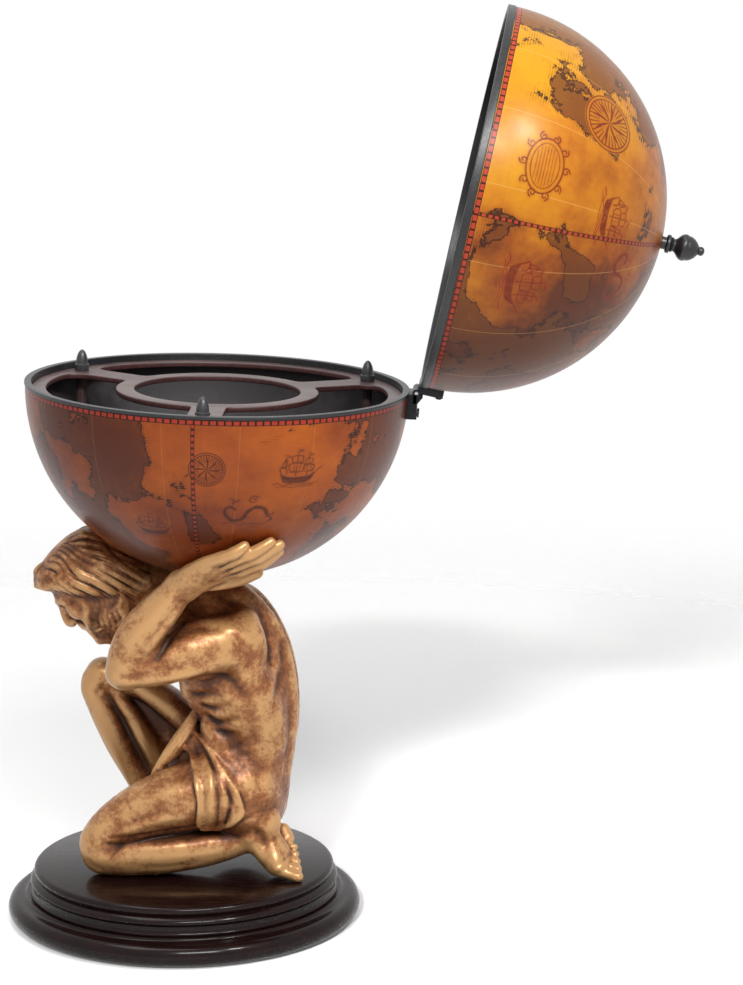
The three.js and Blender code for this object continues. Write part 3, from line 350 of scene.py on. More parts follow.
def softUnion(a, b, reach):
    if reach <= 0:
        return np.minimum(a, b)
    mix = np.clip(1 - np.abs(a - b) / reach, 0, None)
    return np.minimum(a, b) - mix * mix * (reach / 4)


# distance to an ellipsoid from coordinates that are shares of its radii
def roundField(shares, radii):
    near = np.sqrt(sum(share * share for share in shares))
    slope = np.sqrt(sum((share / radius) ** 2 for share, radius in zip(shares, radii))) + 1e-9
    return near * (near - 1) / slope


def pressIn(clay, first, last, field, blend, carve):
    spot = between(first, last)
    old = clay["field"][spot]
    clay["field"][spot] = -softUnion(-old, field, blend) if carve else softUnion(old, field, blend)


# a limb through elliptical rings, rows of x, y, z, half width, half depth
def addForm(clay, rows, blend=6, side=(0, 1, 0), steps=4):
    path = smoothRows(rows, steps)
    margin = blend + 2 * clay["step"]
    reach = path[:, 3:5].max() + margin
    first, last, _ = clayWindow(clay, path[:, :3].min(0) - reach, path[:, :3].max(0) + reach)
    if (last <= first).any():
        return
    field = np.full(last - first, 60.0, np.float32)
    sideway = np.array(side, float)
    for start, end in zip(path, path[1:]):
        span = end[:3] - start[:3]
        length = np.linalg.norm(span)
        if length < 1e-6:
            continue
        along = span / length
        across = sideway - along * (sideway @ along)
        across /= np.linalg.norm(across)
        front = np.cross(along, across)
        near = max(start[3:5].max(), end[3:5].max()) + margin
        ends = np.sort([start[:3], end[:3]], axis=0)
        low, high, _ = clayWindow(clay, ends[0] - near, ends[1] + near)
        low, high = np.maximum(low, first), np.minimum(high, last)
        if (high <= low).any():
            continue
        x, y, z = spread(*(axis - start[i] for i, axis in enumerate(clayAxes(clay, low, high))))
        t = x * along[0] + y * along[1] + z * along[2]
        share = np.clip(t / length, 0, 1)
        wide = start[3] + (end[3] - start[3]) * share
        deep = start[4] + (end[4] - start[4]) * share
        cap = np.minimum(wide, deep)
        shares = ((x * across[0] + y * across[1] + z * across[2]) / wide,
                  (x * front[0] + y * front[1] + z * front[2]) / deep, (t - share * length) / cap)
        spot = between(low - first, high - first)
        field[spot] = np.minimum(field[spot], roundField(shares, (wide, deep, cap)))
    pressIn(clay, first, last, field, blend, False)


# an ellipsoid, its radii along x, y, z
def addBall(clay, place, radii, blend=6, carve=False):
    reach = max(radii) + blend + 2 * clay["step"]
    first, last, axes = clayWindow(clay, np.array(place) - reach, np.array(place) + reach)
    shares = [(axis - middle) / radius for axis, middle, radius in zip(axes, place, radii)]
    pressIn(clay, first, last, roundField(shares, radii), blend, carve)


# field values between the voxels
def fieldAt(field, low, step, points):
    spots = (points - low) / step
    base = np.clip(np.floor(spots).astype(int), 0, np.array(field.shape) - 2)
    part = np.clip(spots - base, 0, 1)
    total = np.zeros(len(points))
    for corner in range(8):
        bits = np.array([(corner >> k) & 1 for k in range(3)])
        weight = np.prod(np.where(bits, part, 1 - part), axis=1)
        index = base + bits
        total += weight * field[index[:, 0], index[:, 1], index[:, 2]]
    return total


# moves points on to the clay's surface, from outside along pull or down the slope
def settle(clay, points, pull=None):
    points = np.array(points, float)
    value = lambda spots: fieldAt(clay["field"], clay["low"], clay["step"], spots)
    if pull is not None:
        pull = np.array(pull, float)
        for _ in range(150 if pull.ndim == 1 else 25):
            points = points + pull * np.clip(value(points), 0, 4)[:, None]
        return points
    for _ in range(10):
        slope = np.stack([value(points + e) - value(points - e) for e in np.eye(3) * clay["step"]],
                         1)
        slope /= 2 * clay["step"]
        size = np.maximum((slope ** 2).sum(1), 0.1)
        points = points - slope * np.clip(value(points) / size, -5, 5)[:, None]
    return points


# raises or presses the surface along a path: the width and height of the stroke in mm
def stroke(clay, path, width, height, pull=None, steps=5, ends=0.35, middle=None):
    path = smoothRows(path, steps)
    if middle is not None:
        pull = np.array(middle) - path
        pull /= np.linalg.norm(pull, axis=1)[:, None]
    path = settle(clay, path[:, :3], pull)
    reach = width * 2.2 + clay["step"]
    first, last, _ = clayWindow(clay, path.min(0) - reach, path.max(0) + reach)
    best = np.zeros(np.maximum(last - first, 0), np.float32)
    count = len(path) - 1
    for i, (start, end) in enumerate(zip(path, path[1:])):
        corners = np.sort([start, end], axis=0)
        low, high, (x, y, z) = clayWindow(clay, corners[0] - reach, corners[1] + reach)
        span = end - start
        x, y, z = x - start[0], y - start[1], z - start[2]
        t = np.clip((x * span[0] + y * span[1] + z * span[2]) / max(span @ span, 1e-9), 0, 1)
        away = (x - span[0] * t) ** 2 + (y - span[1] * t) ** 2 + (z - span[2] * t) ** 2
        share = (i + t) / count
        fade = np.clip(np.minimum(share, 1 - share) / ends, 0, 1) if ends else 1
        fade = fade * (2 - fade)
        spot = between(low - first, high - first)
        best[spot] = np.maximum(best[spot], np.exp(-away / width ** 2) * fade)
    clay["field"][between(first, last)] -= best * height


# strokes on one side of the body as seen from that side: width, height, then x, z of each point
def sideStrokes(clay, side, rows):
    for width, height, *numbers in rows:
        path = [(x, side * 160, z) for x, z in zip(numbers[::2], numbers[1::2])]
        stroke(clay, path, width, height, (0, -side, 0))


# a box blur, run twice along each axis
def soften(field, reach):
    for _ in range(2):
        for axis in range(3):
            pad = [(0, 0)] * 3
            pad[axis] = (reach + 1, reach)
            total = np.cumsum(np.pad(field, pad, mode="edge"), axis=axis, dtype=np.float64)
            ahead = [slice(None)] * 3
            behind = [slice(None)] * 3
            ahead[axis] = slice(2 * reach + 1, None)
            behind[axis] = slice(0, -2 * reach - 1)
            total = total[tuple(ahead)] - total[tuple(behind)]
            field = (total / (2 * reach + 1)).astype(np.float32)
    return field


# takes away what the globe and the plinth fill, with a hair's gap
def cutByGlobe(clay, place=None, gap=0.3):
    x, y, z = spread(*clayAxes(clay, (0, 0, 0), clay["field"].shape))
    if place is not None:
        x, y, z = (row[0] * x + row[1] * y + row[2] * z + row[3] for row in place)
    cx, cy, cz = globePlace["centre"]
    ball = globePlace["radius"] + gap - np.sqrt((x - cx) ** 2 + (y - cy) ** 2 + (z - cz) ** 2)
    clay["field"] = np.maximum(np.maximum(clay["field"], ball),
                               plinthTop + gap - z).astype(np.float32)


# the clay's surface, with how deep each point lies in a hollow or a crease
def clayMesh(name, clay, hollowReach, creaseReach):
    low, step, field = clay["low"], clay["step"], clay["field"]
    grid = vdb.FloatGrid(3.0)
    grid.copyFromArray(np.clip(field / step, -3, 3))
    spots, quads = grid.convertToQuads(isovalue=0.0)
    spots = spots.astype(float)
    for _ in range(2):  # eases the voxel steps
        total, count = np.zeros_like(spots), np.zeros(len(spots))
        for k in range(4):
            a, b = quads[:, k], quads[:, (k + 1) % 4]
            for axis in range(3):
                total[:, axis] += np.bincount(a, spots[b, axis], len(spots))
                total[:, axis] += np.bincount(b, spots[a, axis], len(spots))
            count += np.bincount(a, minlength=len(spots)) + np.bincount(b, minlength=len(spots))
        spots = spots * 0.5 + total / np.maximum(count, 1)[:, None] * 0.5
    spots = low + spots * step
    mesh = bpy.data.meshes.new(name)
    mesh.from_pydata(spots.tolist(), [], quads.tolist())
    for label, reach in (("hollow", hollowReach), ("crease", creaseReach)):
        width = max(int(round(reach / step)), 1)
        clipped = np.clip(field, -2 * reach, 2 * reach)
        deep = -fieldAt(soften(clipped, width), low, step, spots) / (reach * 0.5)
        layer = mesh.attributes.new(label, "FLOAT", "POINT")
        layer.data.foreach_set("value", deep.astype(np.float32))
    work = bmesh.new()
    work.from_mesh(mesh)
    left, groups = set(work.verts), []
    while left:
        group, edge = [], [left.pop()]
        while edge:
            vertex = edge.pop()
            group.append(vertex)
            for other in (e.other_vert(vertex) for e in vertex.link_edges):
                if other in left:
                    left.discard(other)
                    edge.append(other)
        groups.append(group)
    groups.sort(key=len)
    bmesh.ops.delete(work, geom=[v for g in groups[:-1] for v in g], context="VERTS")
    bmesh.ops.recalc_face_normals(work, faces=work.faces)
    return bakeMesh(work, mesh)


def mirrored(rows, side=-1):
    return [(x, y * side, *rest) for x, y, *rest in rows]


# the figure's body. The near side is -Y. Rows: x, y, z, half width, half depth
body = {
    "voxel": 1.7,
    "torso": [(66, 0, 116, 47, 37), (69, 0, 140, 64, 47), (76, 0, 169, 62, 45),
              (82, 0, 202, 55, 44), (78, 0, 237, 60, 50), (64, 0, 272, 70, 58),
              (50, 0, 309, 73, 56), (34, 0, 340, 64, 42), (10, 0, 368, 45, 33),
              (-23, 0, 378, 31, 29), (-62, 0, 380, 29, 28)],
    "backbone": [(50, 0, 378, 26, 10), (70, 0, 366, 30, 15), (86, 0, 346, 32, 17),
                 (97, 0, 324, 33, 18), (105, 0, 302, 32, 18), (109, 0, 278, 31, 18),
                 (110, 0, 254, 30, 18), (108, 0, 222, 28, 17)],
    "pelvis": [(70, -38, 140, 42, 40), (72, 0, 138, 44, 40), (70, 38, 140, 42, 40)],
    "lat": [(50, -62, 326, 20, 27), (68, -62, 290, 20, 31), (82, -50, 250, 18, 30),
            (90, -38, 210, 14, 26)],
    "scapula": [(74, -46, 348, 15, 17), (78, -58, 322, 19, 21), (77, -56, 293, 15, 17)],
    "deltoid": [(70, -60, 331, 22, 25), (46, -75, 331, 26, 27), (20, -86, 327, 24, 27)],
    "upperArm": [(55, -66, 327, 27, 28), (29, -82, 325, 27, 29), (0, -91, 320, 25, 25.5),
                 (-28, -96, 312, 22, 22.5), (-50, -98, 307, 19, 19.5)],
    "triceps": [(34, -87, 311, 15, 12), (4, -95, 307, 17, 12), (-30, -100, 302, 14, 10)],
    "elbow": [(-53, -98, 305, 18, 17.5), (-63, -99, 303, 10, 11)],
    "forearm": [(-53, -98, 307, 20, 19), (-47, -100, 325, 22, 23), (-33, -104, 351, 24, 24.5),
                (-6, -108, 384, 20.5, 20), (12, -111, 406, 16.5, 15.5)],
    "collar": [(-22, -30, 362, 24, 20), (4, -46, 348, 27, 19), (22, -56, 338, 24, 17)],
    "kneeFold": [(-66, -46, 103, 12, 8), (-30, -44, 113, 16, 9), (10, -42, 121, 20, 10),
                 (50, -40, 127, 20, 10)],
    "breast": [(29, -34, 270, 24, 27), (28, -40, 298, 28, 28)],
    "kneelingThigh": [(66, -34, 160, 42, 40), (31, -44, 155, 41, 39), (-4, -51, 147, 37, 36.5),
                      (-39, -53, 135, 33, 32), (-70, -54, 117, 28.5, 27), (-86, -54, 99, 25, 25)],
    "kneelingKnee": [(-85, -54, 108, 21, 18), (-92, -54, 92, 20, 17)],
    "kneelingShin": [(-84, -54, 89, 26, 27), (-55, -54, 87, 27, 26), (-12, -52, 89, 29, 25),
                     (32, -50, 93, 24, 21), (66, -50, 101, 18, 17), (86, -49, 110, 16.5, 16)],
    "heel": [(82, -50, 111, 15, 15), (94, -53, 121, 17, 17.5), (99, -54, 124, 14.5, 15)],
    "sole": [(94, -52, 114, 15, 14), (103, -52, 100, 15, 13), (111, -55.5, 87, 21, 12),
             (117, -57, 79, 24.5, 10)],
    "instep": [(84, -52, 104, 17, 12), (98, -54, 88.5, 18, 12), (110, -56, 76, 20, 11)],
    "ball": [(114, -27, 106, 8, 8), (119, -33, 98, 8.5, 8)],
    "raisedThigh": [(64, 34, 164, 38, 35), (34, 38, 191, 32, 27), (5, 42, 214, 28, 18),
                    (-20, 44, 234, 25, 16), (-45, 46, 251, 24, 16), (-72, 46, 263, 23, 17),
                    (-94, 46, 265, 21, 17)],
    "raisedKnee": [(-95, 46, 266, 20, 17), (-102, 46, 258, 19, 16.5)],
    "raisedShin": [(-103, 46, 246, 20, 16), (-94, 47, 222, 19, 16), (-83, 48, 198, 18, 17),
                   (-73, 49, 176, 17, 16.5), (-61, 50, 152, 16, 15), (-50, 51, 128, 15, 13.5),
                   (-38, 52, 101, 14, 15), (-27, 53, 80, 16, 17)],
    "raisedCalf": [(-84, 46, 256, 16, 9), (-73, 46, 238, 19, 10), (-61, 47, 220, 21, 11),
                   (-49, 48, 198, 23, 12.5), (-37, 50, 176, 22, 14), (-29, 51, 150, 17, 13),
                   (-26, 52, 126, 12, 10)],
    "raisedBehind": [(-84, 54, 238, 12, 20), (-64, 54, 206, 13, 27), (-46, 54, 172, 13, 26),
                     (-34, 54, 136, 12, 18)],
    "raisedInner": [(-50, 54, 244, 12, 12), (-36, 54, 220, 14, 20), (-20, 53, 196, 14, 22),
                    (-8, 50, 178, 14, 20)],
    "waist": [(38, -36, 226, 18, 14), (50, -44, 206, 18, 15), (60, -48, 188, 16, 14)],
    "groin": [(44, -8, 216, 26, 26), (26, -8, 202, 28, 24), (10, -6, 192, 28, 18),
              (-4, -2, 182, 24, 12)],
    "flatFoot": [(-20, 53, 78, 17, 16), (-47, 54, 83, 19, 17), (-78, 55, 75, 22, 13),
                 (-92, 56, 71, 22, 9)],
    "flatHeel": [(-14, 53, 74, 15, 13), (-30, 53, 74, 16, 13)],
}
# the far shoulder is drawn forward
farShift = {"scapula": (-18, 2, -14), "deltoid": (-12, 2, -10), "lat": (-8, 0, -4)}

# the hand lies on the globe. Rows: share along the hand from its heel to the tips, then mm across
# towards the thumb, mm off the globe, half width, half depth
handSizes = {"startTurn": (-100.8, 31.4), "endTurn": (-62, 48.4), "spread": 12.2, "finger": 6.9,
             "tips": (0.78, 0.97, 1.0, 0.94), "knuckle": 0.48,
             "palm": [(-0.06, 0, 21, 16.5, 15), (0.12, 0, 14.5, 20, 14), (0.3, 1, 11, 24, 12),
                      (0.46, 0, 10.5, 25, 9.5), (0.54, 0, 9.5, 23, 7)],
             "thumb": [(0.04, 15, 14, 9.5, 10), (0.24, 30, 12, 9, 9), (0.44, 39, 10, 7.5, 8),
                       (0.6, 41, 8, 7, 7)]}


# outward direction of a place on the globe, in degrees
def sphereSpot(azimuth, polar):
    a, b = radians(azimuth), radians(polar)
    return np.array([sin(b) * cos(a), sin(b) * sin(a), -cos(b)])


def onGlobe(rows, side):
    start, end = (sphereSpot(*handSizes[key]) for key in ("startTurn", "endTurn"))
    azimuths, polars = zip(handSizes["startTurn"], handSizes["endTurn"])
    found = []
    for along, across, height, *sizes in rows:
        outward = sphereSpot(azimuths[0] + (azimuths[1] - azimuths[0]) * along,
                             polars[0] + (polars[1] - polars[0]) * along)
        thumbward = np.cross(end - start, outward)
        thumbward /= np.linalg.norm(thumbward)
        spot = outward * (globePlace["radius"] + height) + thumbward * across
        spot[1] *= side
        found.append((*(spot + np.array(globePlace["centre"])), *sizes))
    return found


def addHand(clay, side):
    middle, beside = (np.array(onGlobe([(0.5, a, 0)], side)[0]) for a in (0, 1))
    across = beside - middle
    wrist = mirrored(body["forearm"][-1:], side)[0]
    addForm(clay, [wrist, *onGlobe([(-0.06, 0, 21, 16.5, 14.5), (0.1, 0, 15, 19, 13)], side)], 8,
            across)
    addForm(clay, onGlobe(handSizes["palm"], side), 6, across)
    addForm(clay, onGlobe(handSizes["thumb"], side), 5, across)
    size, base = handSizes["finger"], handSizes["knuckle"]
    for index, tip in enumerate(handSizes["tips"]):
        a = (index - 1.5) * handSizes["spread"]
        rows = [(base - 0.04, a * 0.92, 11.5, size, size),
                (base + 0.06, a, 12.5, size * 1.08, size * 1.12),
                (base + (tip - base) * 0.38, a * 1.04, 12.5, size * 0.95, size),
                (base + (tip - base) * 0.56, a * 1.04, 12.2, size * 1.03, size * 1.08),
                (base + (tip - base) * 0.8, a * 1.02, 9.5, size * 0.92, size * 0.92),
                (tip - 0.02, a * 0.98, 7.0, size * 0.84, size * 0.8)]
        addForm(clay, onGlobe(rows, side), 1.4, across, 4)
    for index in range(3):  # clefts between the knuckles
        a = (index - 1) * handSizes["spread"]
        stroke(clay, onGlobe([(base - 0.08, a * 0.9, 22), (base + 0.1, a, 22),
                              (0.7, a * 1.03, 20)], side), 3, -2.6)
    for index in range(4):  # tendons on the back of the hand
        a = (index - 1.5) * handSizes["spread"]
        stroke(clay, onGlobe([(0.1, a * 0.35, 30), (0.28, a * 0.65, 26),
                              (base + 0.02, a * 0.95, 22)], side), 3.0, 1.3)
    # along the thumb
    stroke(clay, onGlobe([(0.16, 22, 24), (0.34, 27, 22), (0.5, 30, 20)], side), 2.2, -3)


def addToes(clay, root, step, reach, radius):
    for index in range(5):
        size = radius * (1 - 0.1 * index)
        start = np.array(root) + np.array(step) * index
        end = start + np.array(reach) * (1 - 0.09 * index)
        addForm(clay, [(*start, size, size), (*(start * 0.45 + end * 0.55), size * 0.9, size * 0.9),
                       (*end, size * 1.02, size * 0.95)], 1.2)


# signed distance in the x, z plane to a smooth closed outline
def polygonField(points, x, z, steps=6):
    rows = smoothRows(list(points) + [points[0]], steps)[:-1]
    best = np.full(x.shape, 1e9)
    inside = np.zeros(x.shape, bool)
    for a, b in zip(rows, np.roll(rows, -1, 0)):
        span = b - a
        t = np.clip(((x - a[0]) * span[0] + (z - a[1]) * span[1]) / (span @ span + 1e-9), 0, 1)
        best = np.minimum(best, np.hypot(x - a[0] - span[0] * t, z - a[1] - span[1] * t))
        rise = span[1] if abs(span[1]) > 1e-9 else 1e-9
        inside ^= ((a[1] > z) != (b[1] > z)) & (x < a[0] + (z - a[1]) / rise * span[0])
    return np.where(inside, -best, best)


# loincloth: outlines as seen from each side, and the folded end that hangs between the thighs
cloth = {"thick": 5,
         "near": [(14, 224), (36, 208), (53, 188), (66, 169), (75, 146), (73, 136), (63, 127),
                  (52, 121), (41, 117), (29, 117), (23, 128), (25, 153), (22, 171), (17, 190),
                  (0, 207), (-4, 216)],
         "far": [(14, 226), (44, 214), (66, 186), (78, 160), (70, 134), (40, 116), (14, 130),
                 (-2, 166), (-4, 190), (-2, 206), (0, 222)],
         "endTop": ((19, -24, 244), (30, -14, 251)),
         "endTips": [(-31, -34, 169), (-23, -36, 178), (-15, -36, 185), (-7, -34, 191),
                     (3, -30, 198)],
         "endSide": (0.8, 0.15, -0.6)}


def addCloth(clay):
    x, y, z = clayAxes(clay, (0, 0, 0), clay["field"].shape)
    flatX, flatZ = np.meshgrid(x, z, indexing="ij")
    near, far = (polygonField(cloth[key], flatX, flatZ)[:, None, :] for key in ("near", "far"))
    share = np.clip((y + 22) / 44, 0, 1)[None, :, None]
    sheet = np.maximum(clay["field"] - cloth["thick"], near * (1 - share) + far * share)
    clay["field"] = softUnion(clay["field"], sheet.astype(np.float32), 0.8)
    for number, tip in enumerate(cloth["endTips"]):  # pleats that spread from the knot
        share = number / (len(cloth["endTips"]) - 1)
        top = np.array(cloth["endTop"][0]) * (1 - share) + np.array(cloth["endTop"][1]) * share
        tip, wave = np.array(tip), np.array([0, 5.0 if number % 2 else -1, 0])
        rows = []
        for t, size in ((0, 0.9), (0.25, 1.0), (0.5, 1.15), (0.75, 1.15), (0.92, 0.9), (1, 0.6)):
            spot = top + (tip - top) * t - wave * sin(pi * min(t * 1.1, 1))
            rows.append((*spot, 5 * size, 3.6 * size))
        addForm(clay, rows, 1.0, cloth["endSide"])


# the forms in the order they are laid, with how far each one melts into the others
pairForms = (("lat", 16), ("breast", 14), ("collar", 12), ("scapula", 14), ("deltoid", 12),
             ("upperArm", 10), ("triceps", 7), ("elbow", 6), ("forearm", 7))
legForms = (("kneelingThigh", 8), ("kneelingKnee", 6), ("raisedThigh", 10), ("raisedShin", 5),
            ("raisedKnee", 8), ("flatFoot", 6), ("flatHeel", 6), ("raisedCalf", 7),
            ("raisedBehind", 5), ("raisedInner", 8), ("groin", 8), ("waist", 12),
            ("kneelingShin", 2.5), ("kneeFold", 2))
footForms = (("heel", 6), ("sole", 5), ("instep", 8), ("ball", 3))


def makeBody():
    clay = newClay((-134, -176, 56), (154, 176, 486), body["voxel"])
    for name, blend in (("torso", 0), ("backbone", 12), ("pelvis", 12)):
        addForm(clay, body[name], blend)
    for name, blend in pairForms:
        addForm(clay, body[name], blend)
    for name, blend in pairForms:
        shift = farShift.get(name, (0, 0, 0))
        addForm(clay, [(*np.add(row[:3], shift), *row[3:]) for row in mirrored(body[name])], blend)
    addHand(clay, 1)
    addHand(clay, -1)
    for name, blend in legForms:
        addForm(clay, body[name], blend)
    for name, blend in footForms:
        addForm(clay, body[name], blend, (0, 0.9, 0.4))
    addBall(clay, (76, -62, 108), (7, 6, 7), 5)  # ankle bone
    addToes(clay, (112, -71, 73), (0.6, 8, 5.3), (21, -3, -6), 6.9)
    addToes(clay, (-92, 40, 67), (2, 8.2, 0), (-12, 0, -1), 6.2)
    print("figure: body forms laid")
    addCloth(clay)
    return clay


clay = makeBody()
sideStrokes(clay, -1, [
    # back and shoulder
    (5.5, -4.5, -6, 290, 11, 295, 35, 301, 58, 295, 72, 279, 78, 262),
    (8, -2.4, 84, 366, 96, 345, 102, 321, 100, 301, 93, 280),
    (5.5, -2, 104, 345, 114, 321, 115, 296, 108, 266, 105, 246),
    (5, 1.8, 92, 352, 106, 322, 106, 290, 98, 256),
    (6, 2, 52, 356, 74, 346, 90, 326),
    (9, 2, 46, 322, 66, 316, 82, 298),
    (5, -2.4, 2, 346, 26, 354, 54, 354),
    (9, 2, 92, 262, 99, 225, 100, 180, 96, 140),
    (8, -1.4, 82, 270, 86, 240, 84, 205),
    (7, -1.6, 90, 190, 92, 165, 88, 142),
    # ribs and belly: soft notches with a short deep part
    (6, -2.2, 8, 276, 22, 270, 40, 274, 52, 280), (3, -1.8, 14, 272, 24, 270, 32, 274),
    (5.5, -2.2, 22, 262, 34, 256, 48, 257, 60, 264), (3, -1.8, 26, 259, 36, 255, 44, 256),
    (5.5, -2, 30, 247, 42, 239, 56, 242, 66, 248), (3, -1.8, 34, 243, 44, 238, 50, 240),
    (5, -1.6, 40, 231, 52, 226, 64, 229), (2.8, -1.4, 42, 230, 50, 227, 56, 230),
    (5, 1.8, 26, 266, 36, 264, 46, 267), (5, 1.8, 36, 249, 46, 247, 58, 251),
    (5, 1.6, 46, 234, 56, 233, 68, 238),
    (4.5, -1.3, 44, 212, 54, 208, 68, 213, 80, 221),
    # upper arm, elbow and forearm
    (3, -4.5, -20, 318, -10, 332, 2, 348, 14, 358),
    (6, -1.6, 50, 331, 28, 320, 4, 316, -14, 312),
    (6, 1.6, 42, 312, 16, 305, -22, 299, -48, 296),
    (4, -1.4, -60, 308, -46, 303, -34, 307),
    (3, 1.2, -62, 318, -52, 312, -44, 316),
    (6, 1.8, -54, 330, -36, 358, -12, 386, 8, 406),
    (4, -1.8, -38, 326, -18, 352, 2, 378, 16, 394),
    (6, 1.2, -26, 332, -8, 358, 10, 380),
    # kneeling thigh, knee and shin
    (7, 2, 14, 170, -14, 164, -44, 150, -72, 131),
    (4, -1.8, 16, 153, -12, 147, -42, 135, -66, 121),
    (2.4, -1.4, 4, 160, -20, 152, -40, 142),
    (6, 1.8, 16, 138, -14, 134, -44, 124, -66, 114),
    (2.8, -2.6, -82, 112, -58, 113, -30, 117, -2, 122, 23, 125, 60, 130),
    (2.4, -2.6, -86, 110, -74, 104, -64, 106, -58, 113),
    (2.2, -2.4, -72, 90, -66, 97, -58, 106),
    (4, 1.6, -94, 112, -88, 122, -78, 126),
    (4, -1.4, -100, 84, -92, 76, -80, 74),
    (6, 1.4, -60, 96, -24, 100, 16, 104, 52, 110),
    (4, -1.4, -50, 78, -10, 78, 30, 84),
    # heel, sole and ankle
    (2.2, -2.2, 70, 128, 88, 140, 112, 142),
    (4.5, -1.8, 82, 122, 92, 112, 98, 98),
    (4, -1.6, 104, 114, 112, 100, 118, 86),
    (5, 2.4, 78, 108, 85, 113),
    (2.4, -1.4, 106, 78, 116, 84, 128, 92),
])
# the loincloth's folds, with a rolled hem down both edges
sideStrokes(clay, -1, [
    (2.6, 2.4, 8, 212, 0, 208, 15, 191, 23, 171, 26, 153, 24, 128, 30, 112),
    (1.9, -2.2, 17, 207, 24, 188, 30, 170, 31, 150, 30, 124),
    (2.8, 2.8, 18, 224, 36, 209, 53, 189, 66, 169, 74, 146),
    (1.9, -2.6, 14, 213, 32, 201, 48, 182, 59, 163, 66, 144),
    (2.4, -2.8, 22, 212, 36, 196, 45, 174, 47, 152, 44, 120),
    (3, 2, 24, 206, 38, 186, 40, 164, 38, 140, 37, 118),
    (2.8, 2, 34, 204, 48, 184, 54, 162, 53, 140),
    (2, -2.8, 44, 196, 56, 174, 60, 156, 57, 138, 52, 120),
    (1.8, -3, 60, 150, 55, 134, 50, 120),
    (1.6, -1.4, 40, 186, 43, 166, 41, 146), (1.6, -1.6, 30, 186, 34, 164, 34, 136),
    (2, 1.6, 28, 120, 42, 119, 52, 123, 62, 129, 71, 139),
    # pleats of the hanging end
    (1.5, -3, 19, 243, 3, 222, -12, 199, -25, 177), (1.5, -3, 23, 242, 10, 223, -4, 202, -16, 184),
    (1.4, -2.6, 27, 240, 16, 223, 5, 206, -7, 191), (2, 1.8, 16, 244, -1, 222, -17, 198, -29, 174),
    (1.8, 1.8, 21, 243, 7, 222, -8, 200, -20, 181), (1.8, 1.8, 25, 241, 13, 223, 0, 204, -12, 187),
])
sideStrokes(clay, 1, [
    (6, -4, 7, 296, 34, 301, 58, 298, 74, 282, 84, 264),
    (5, -2.6, 84, 340, 90, 318, 90, 296, 86, 270),
    (4.5, -1.8, 104, 330, 110, 304, 108, 278, 100, 250),
    (4.5, -2.6, 22, 262, 36, 256, 52, 260), (4.5, -2.4, 32, 245, 44, 240, 58, 244),
    (5, 2, 24, 272, 38, 268, 50, 270), (5, 2, 36, 252, 48, 249, 60, 252),
    (3, -4.5, -20, 318, -10, 332, 2, 348, 14, 358),
    (6, 1.6, 42, 312, 16, 305, -22, 299, -48, 296),
    (6, 1.8, -54, 330, -36, 358, -12, 386, 8, 406),
    (4, -1.8, -38, 326, -18, 352, 2, 378, 16, 394),
    (8, 2, 24, 214, -10, 240, -50, 262),
    (4, -1.6, 24, 196, -10, 222, -50, 248),
    (4, 1.6, -112, 250, -104, 268, -90, 274), (3, -2, -80, 256, -92, 250, -102, 248),
    (3, -2.2, -92, 236, -78, 208, -62, 172, -50, 140),
    (2.4, -2.2, -4, 206, 12, 186, 24, 160, 32, 130),
    (2.4, -2.2, 10, 214, 28, 194, 42, 166, 48, 134),
    (2.6, 1.6, 4, 196, 20, 170, 30, 140),
])
# the raised shin and calf, seen past the near leg: grooves between them and under the thigh
for path, width, height in (
        ([(-62, 10, 228), (-52, 10, 206), (-40, 12, 182), (-34, 14, 160)], 8, 2),
        ([(-104, 10, 236), (-92, 12, 206), (-80, 14, 178), (-66, 18, 148)], 5, 1.4),
        ([(-96, 10, 224), (-84, 12, 196), (-72, 14, 168), (-58, 18, 140)], 4, -1.3),
        ([(-98, 10, 274), (-92, 10, 262), (-98, 10, 250), (-108, 10, 248)], 3, -1.6)):
    stroke(clay, path, width, height, (0, 1, 0))
stroke(clay, [(-60, 14, 252), (-50, 12, 238), (-36, 10, 222), (-24, 10, 206)], 3.6, -1.6,
       (0, 1, 0), ends=0.3)
stroke(clay, [(-104, 20, 252), (-98, 20, 244), (-90, 20, 240)], 3, -2, (0, 1, 0))
# the spine, with the long muscles on both sides
backLine = [(70, 382), (84, 374), (98, 358), (114, 332), (124, 304), (129, 276), (129, 250),
            (126, 206), (119, 160), (110, 130)]
stroke(clay, [(x + 6, 0, z) for x, z in backLine], 5, -3.6, ends=0.15)
for side in (-1, 1):
    stroke(clay, [(x + 4, side * 15, z) for x, z in backLine], 8, 2, ends=0.2)
    stroke(clay, [(x, side * 32, z) for x, z in backLine[2:-1]], 6, -1.6, ends=0.2)
for z in (352, 336, 320, 304, 288, 272, 256, 240):  # the bumps of the vertebrae
    x = np.interp(z, [130, 160, 206, 262, 304, 332, 358], [112, 121, 128, 129, 124, 114, 98])
    stroke(clay, [(x + 4, -2, z), (x + 4, 2, z)], 4, 1.2, ends=0)
# chest and belly, seen from the front
for side in (-1, 1):
    stroke(clay, [(0, side * 8, 258), (2, side * 30, 252), (10, side * 50, 262)], 4, -3)
    stroke(clay, [(30, side * 3, 240), (36, side * 24, 238)], 3.5, -2)
    stroke(clay, [(36, side * 3, 222), (42, side * 24, 220)], 3.5, -2)
stroke(clay, [(6, 0, 280), (14, 0, 250), (32, 0, 225), (38, 0, 205)], 4, -2.4)
cutByGlobe(clay)
print("figure: body worked")
bodyPiece = finishPiece("figureBody", clayMesh("figureBody", clay, 12, 3.4), "stand", bronze,
                        ["kneeling_figure"])
print("figure: body", len(bodyPiece.data.polygons), "faces")

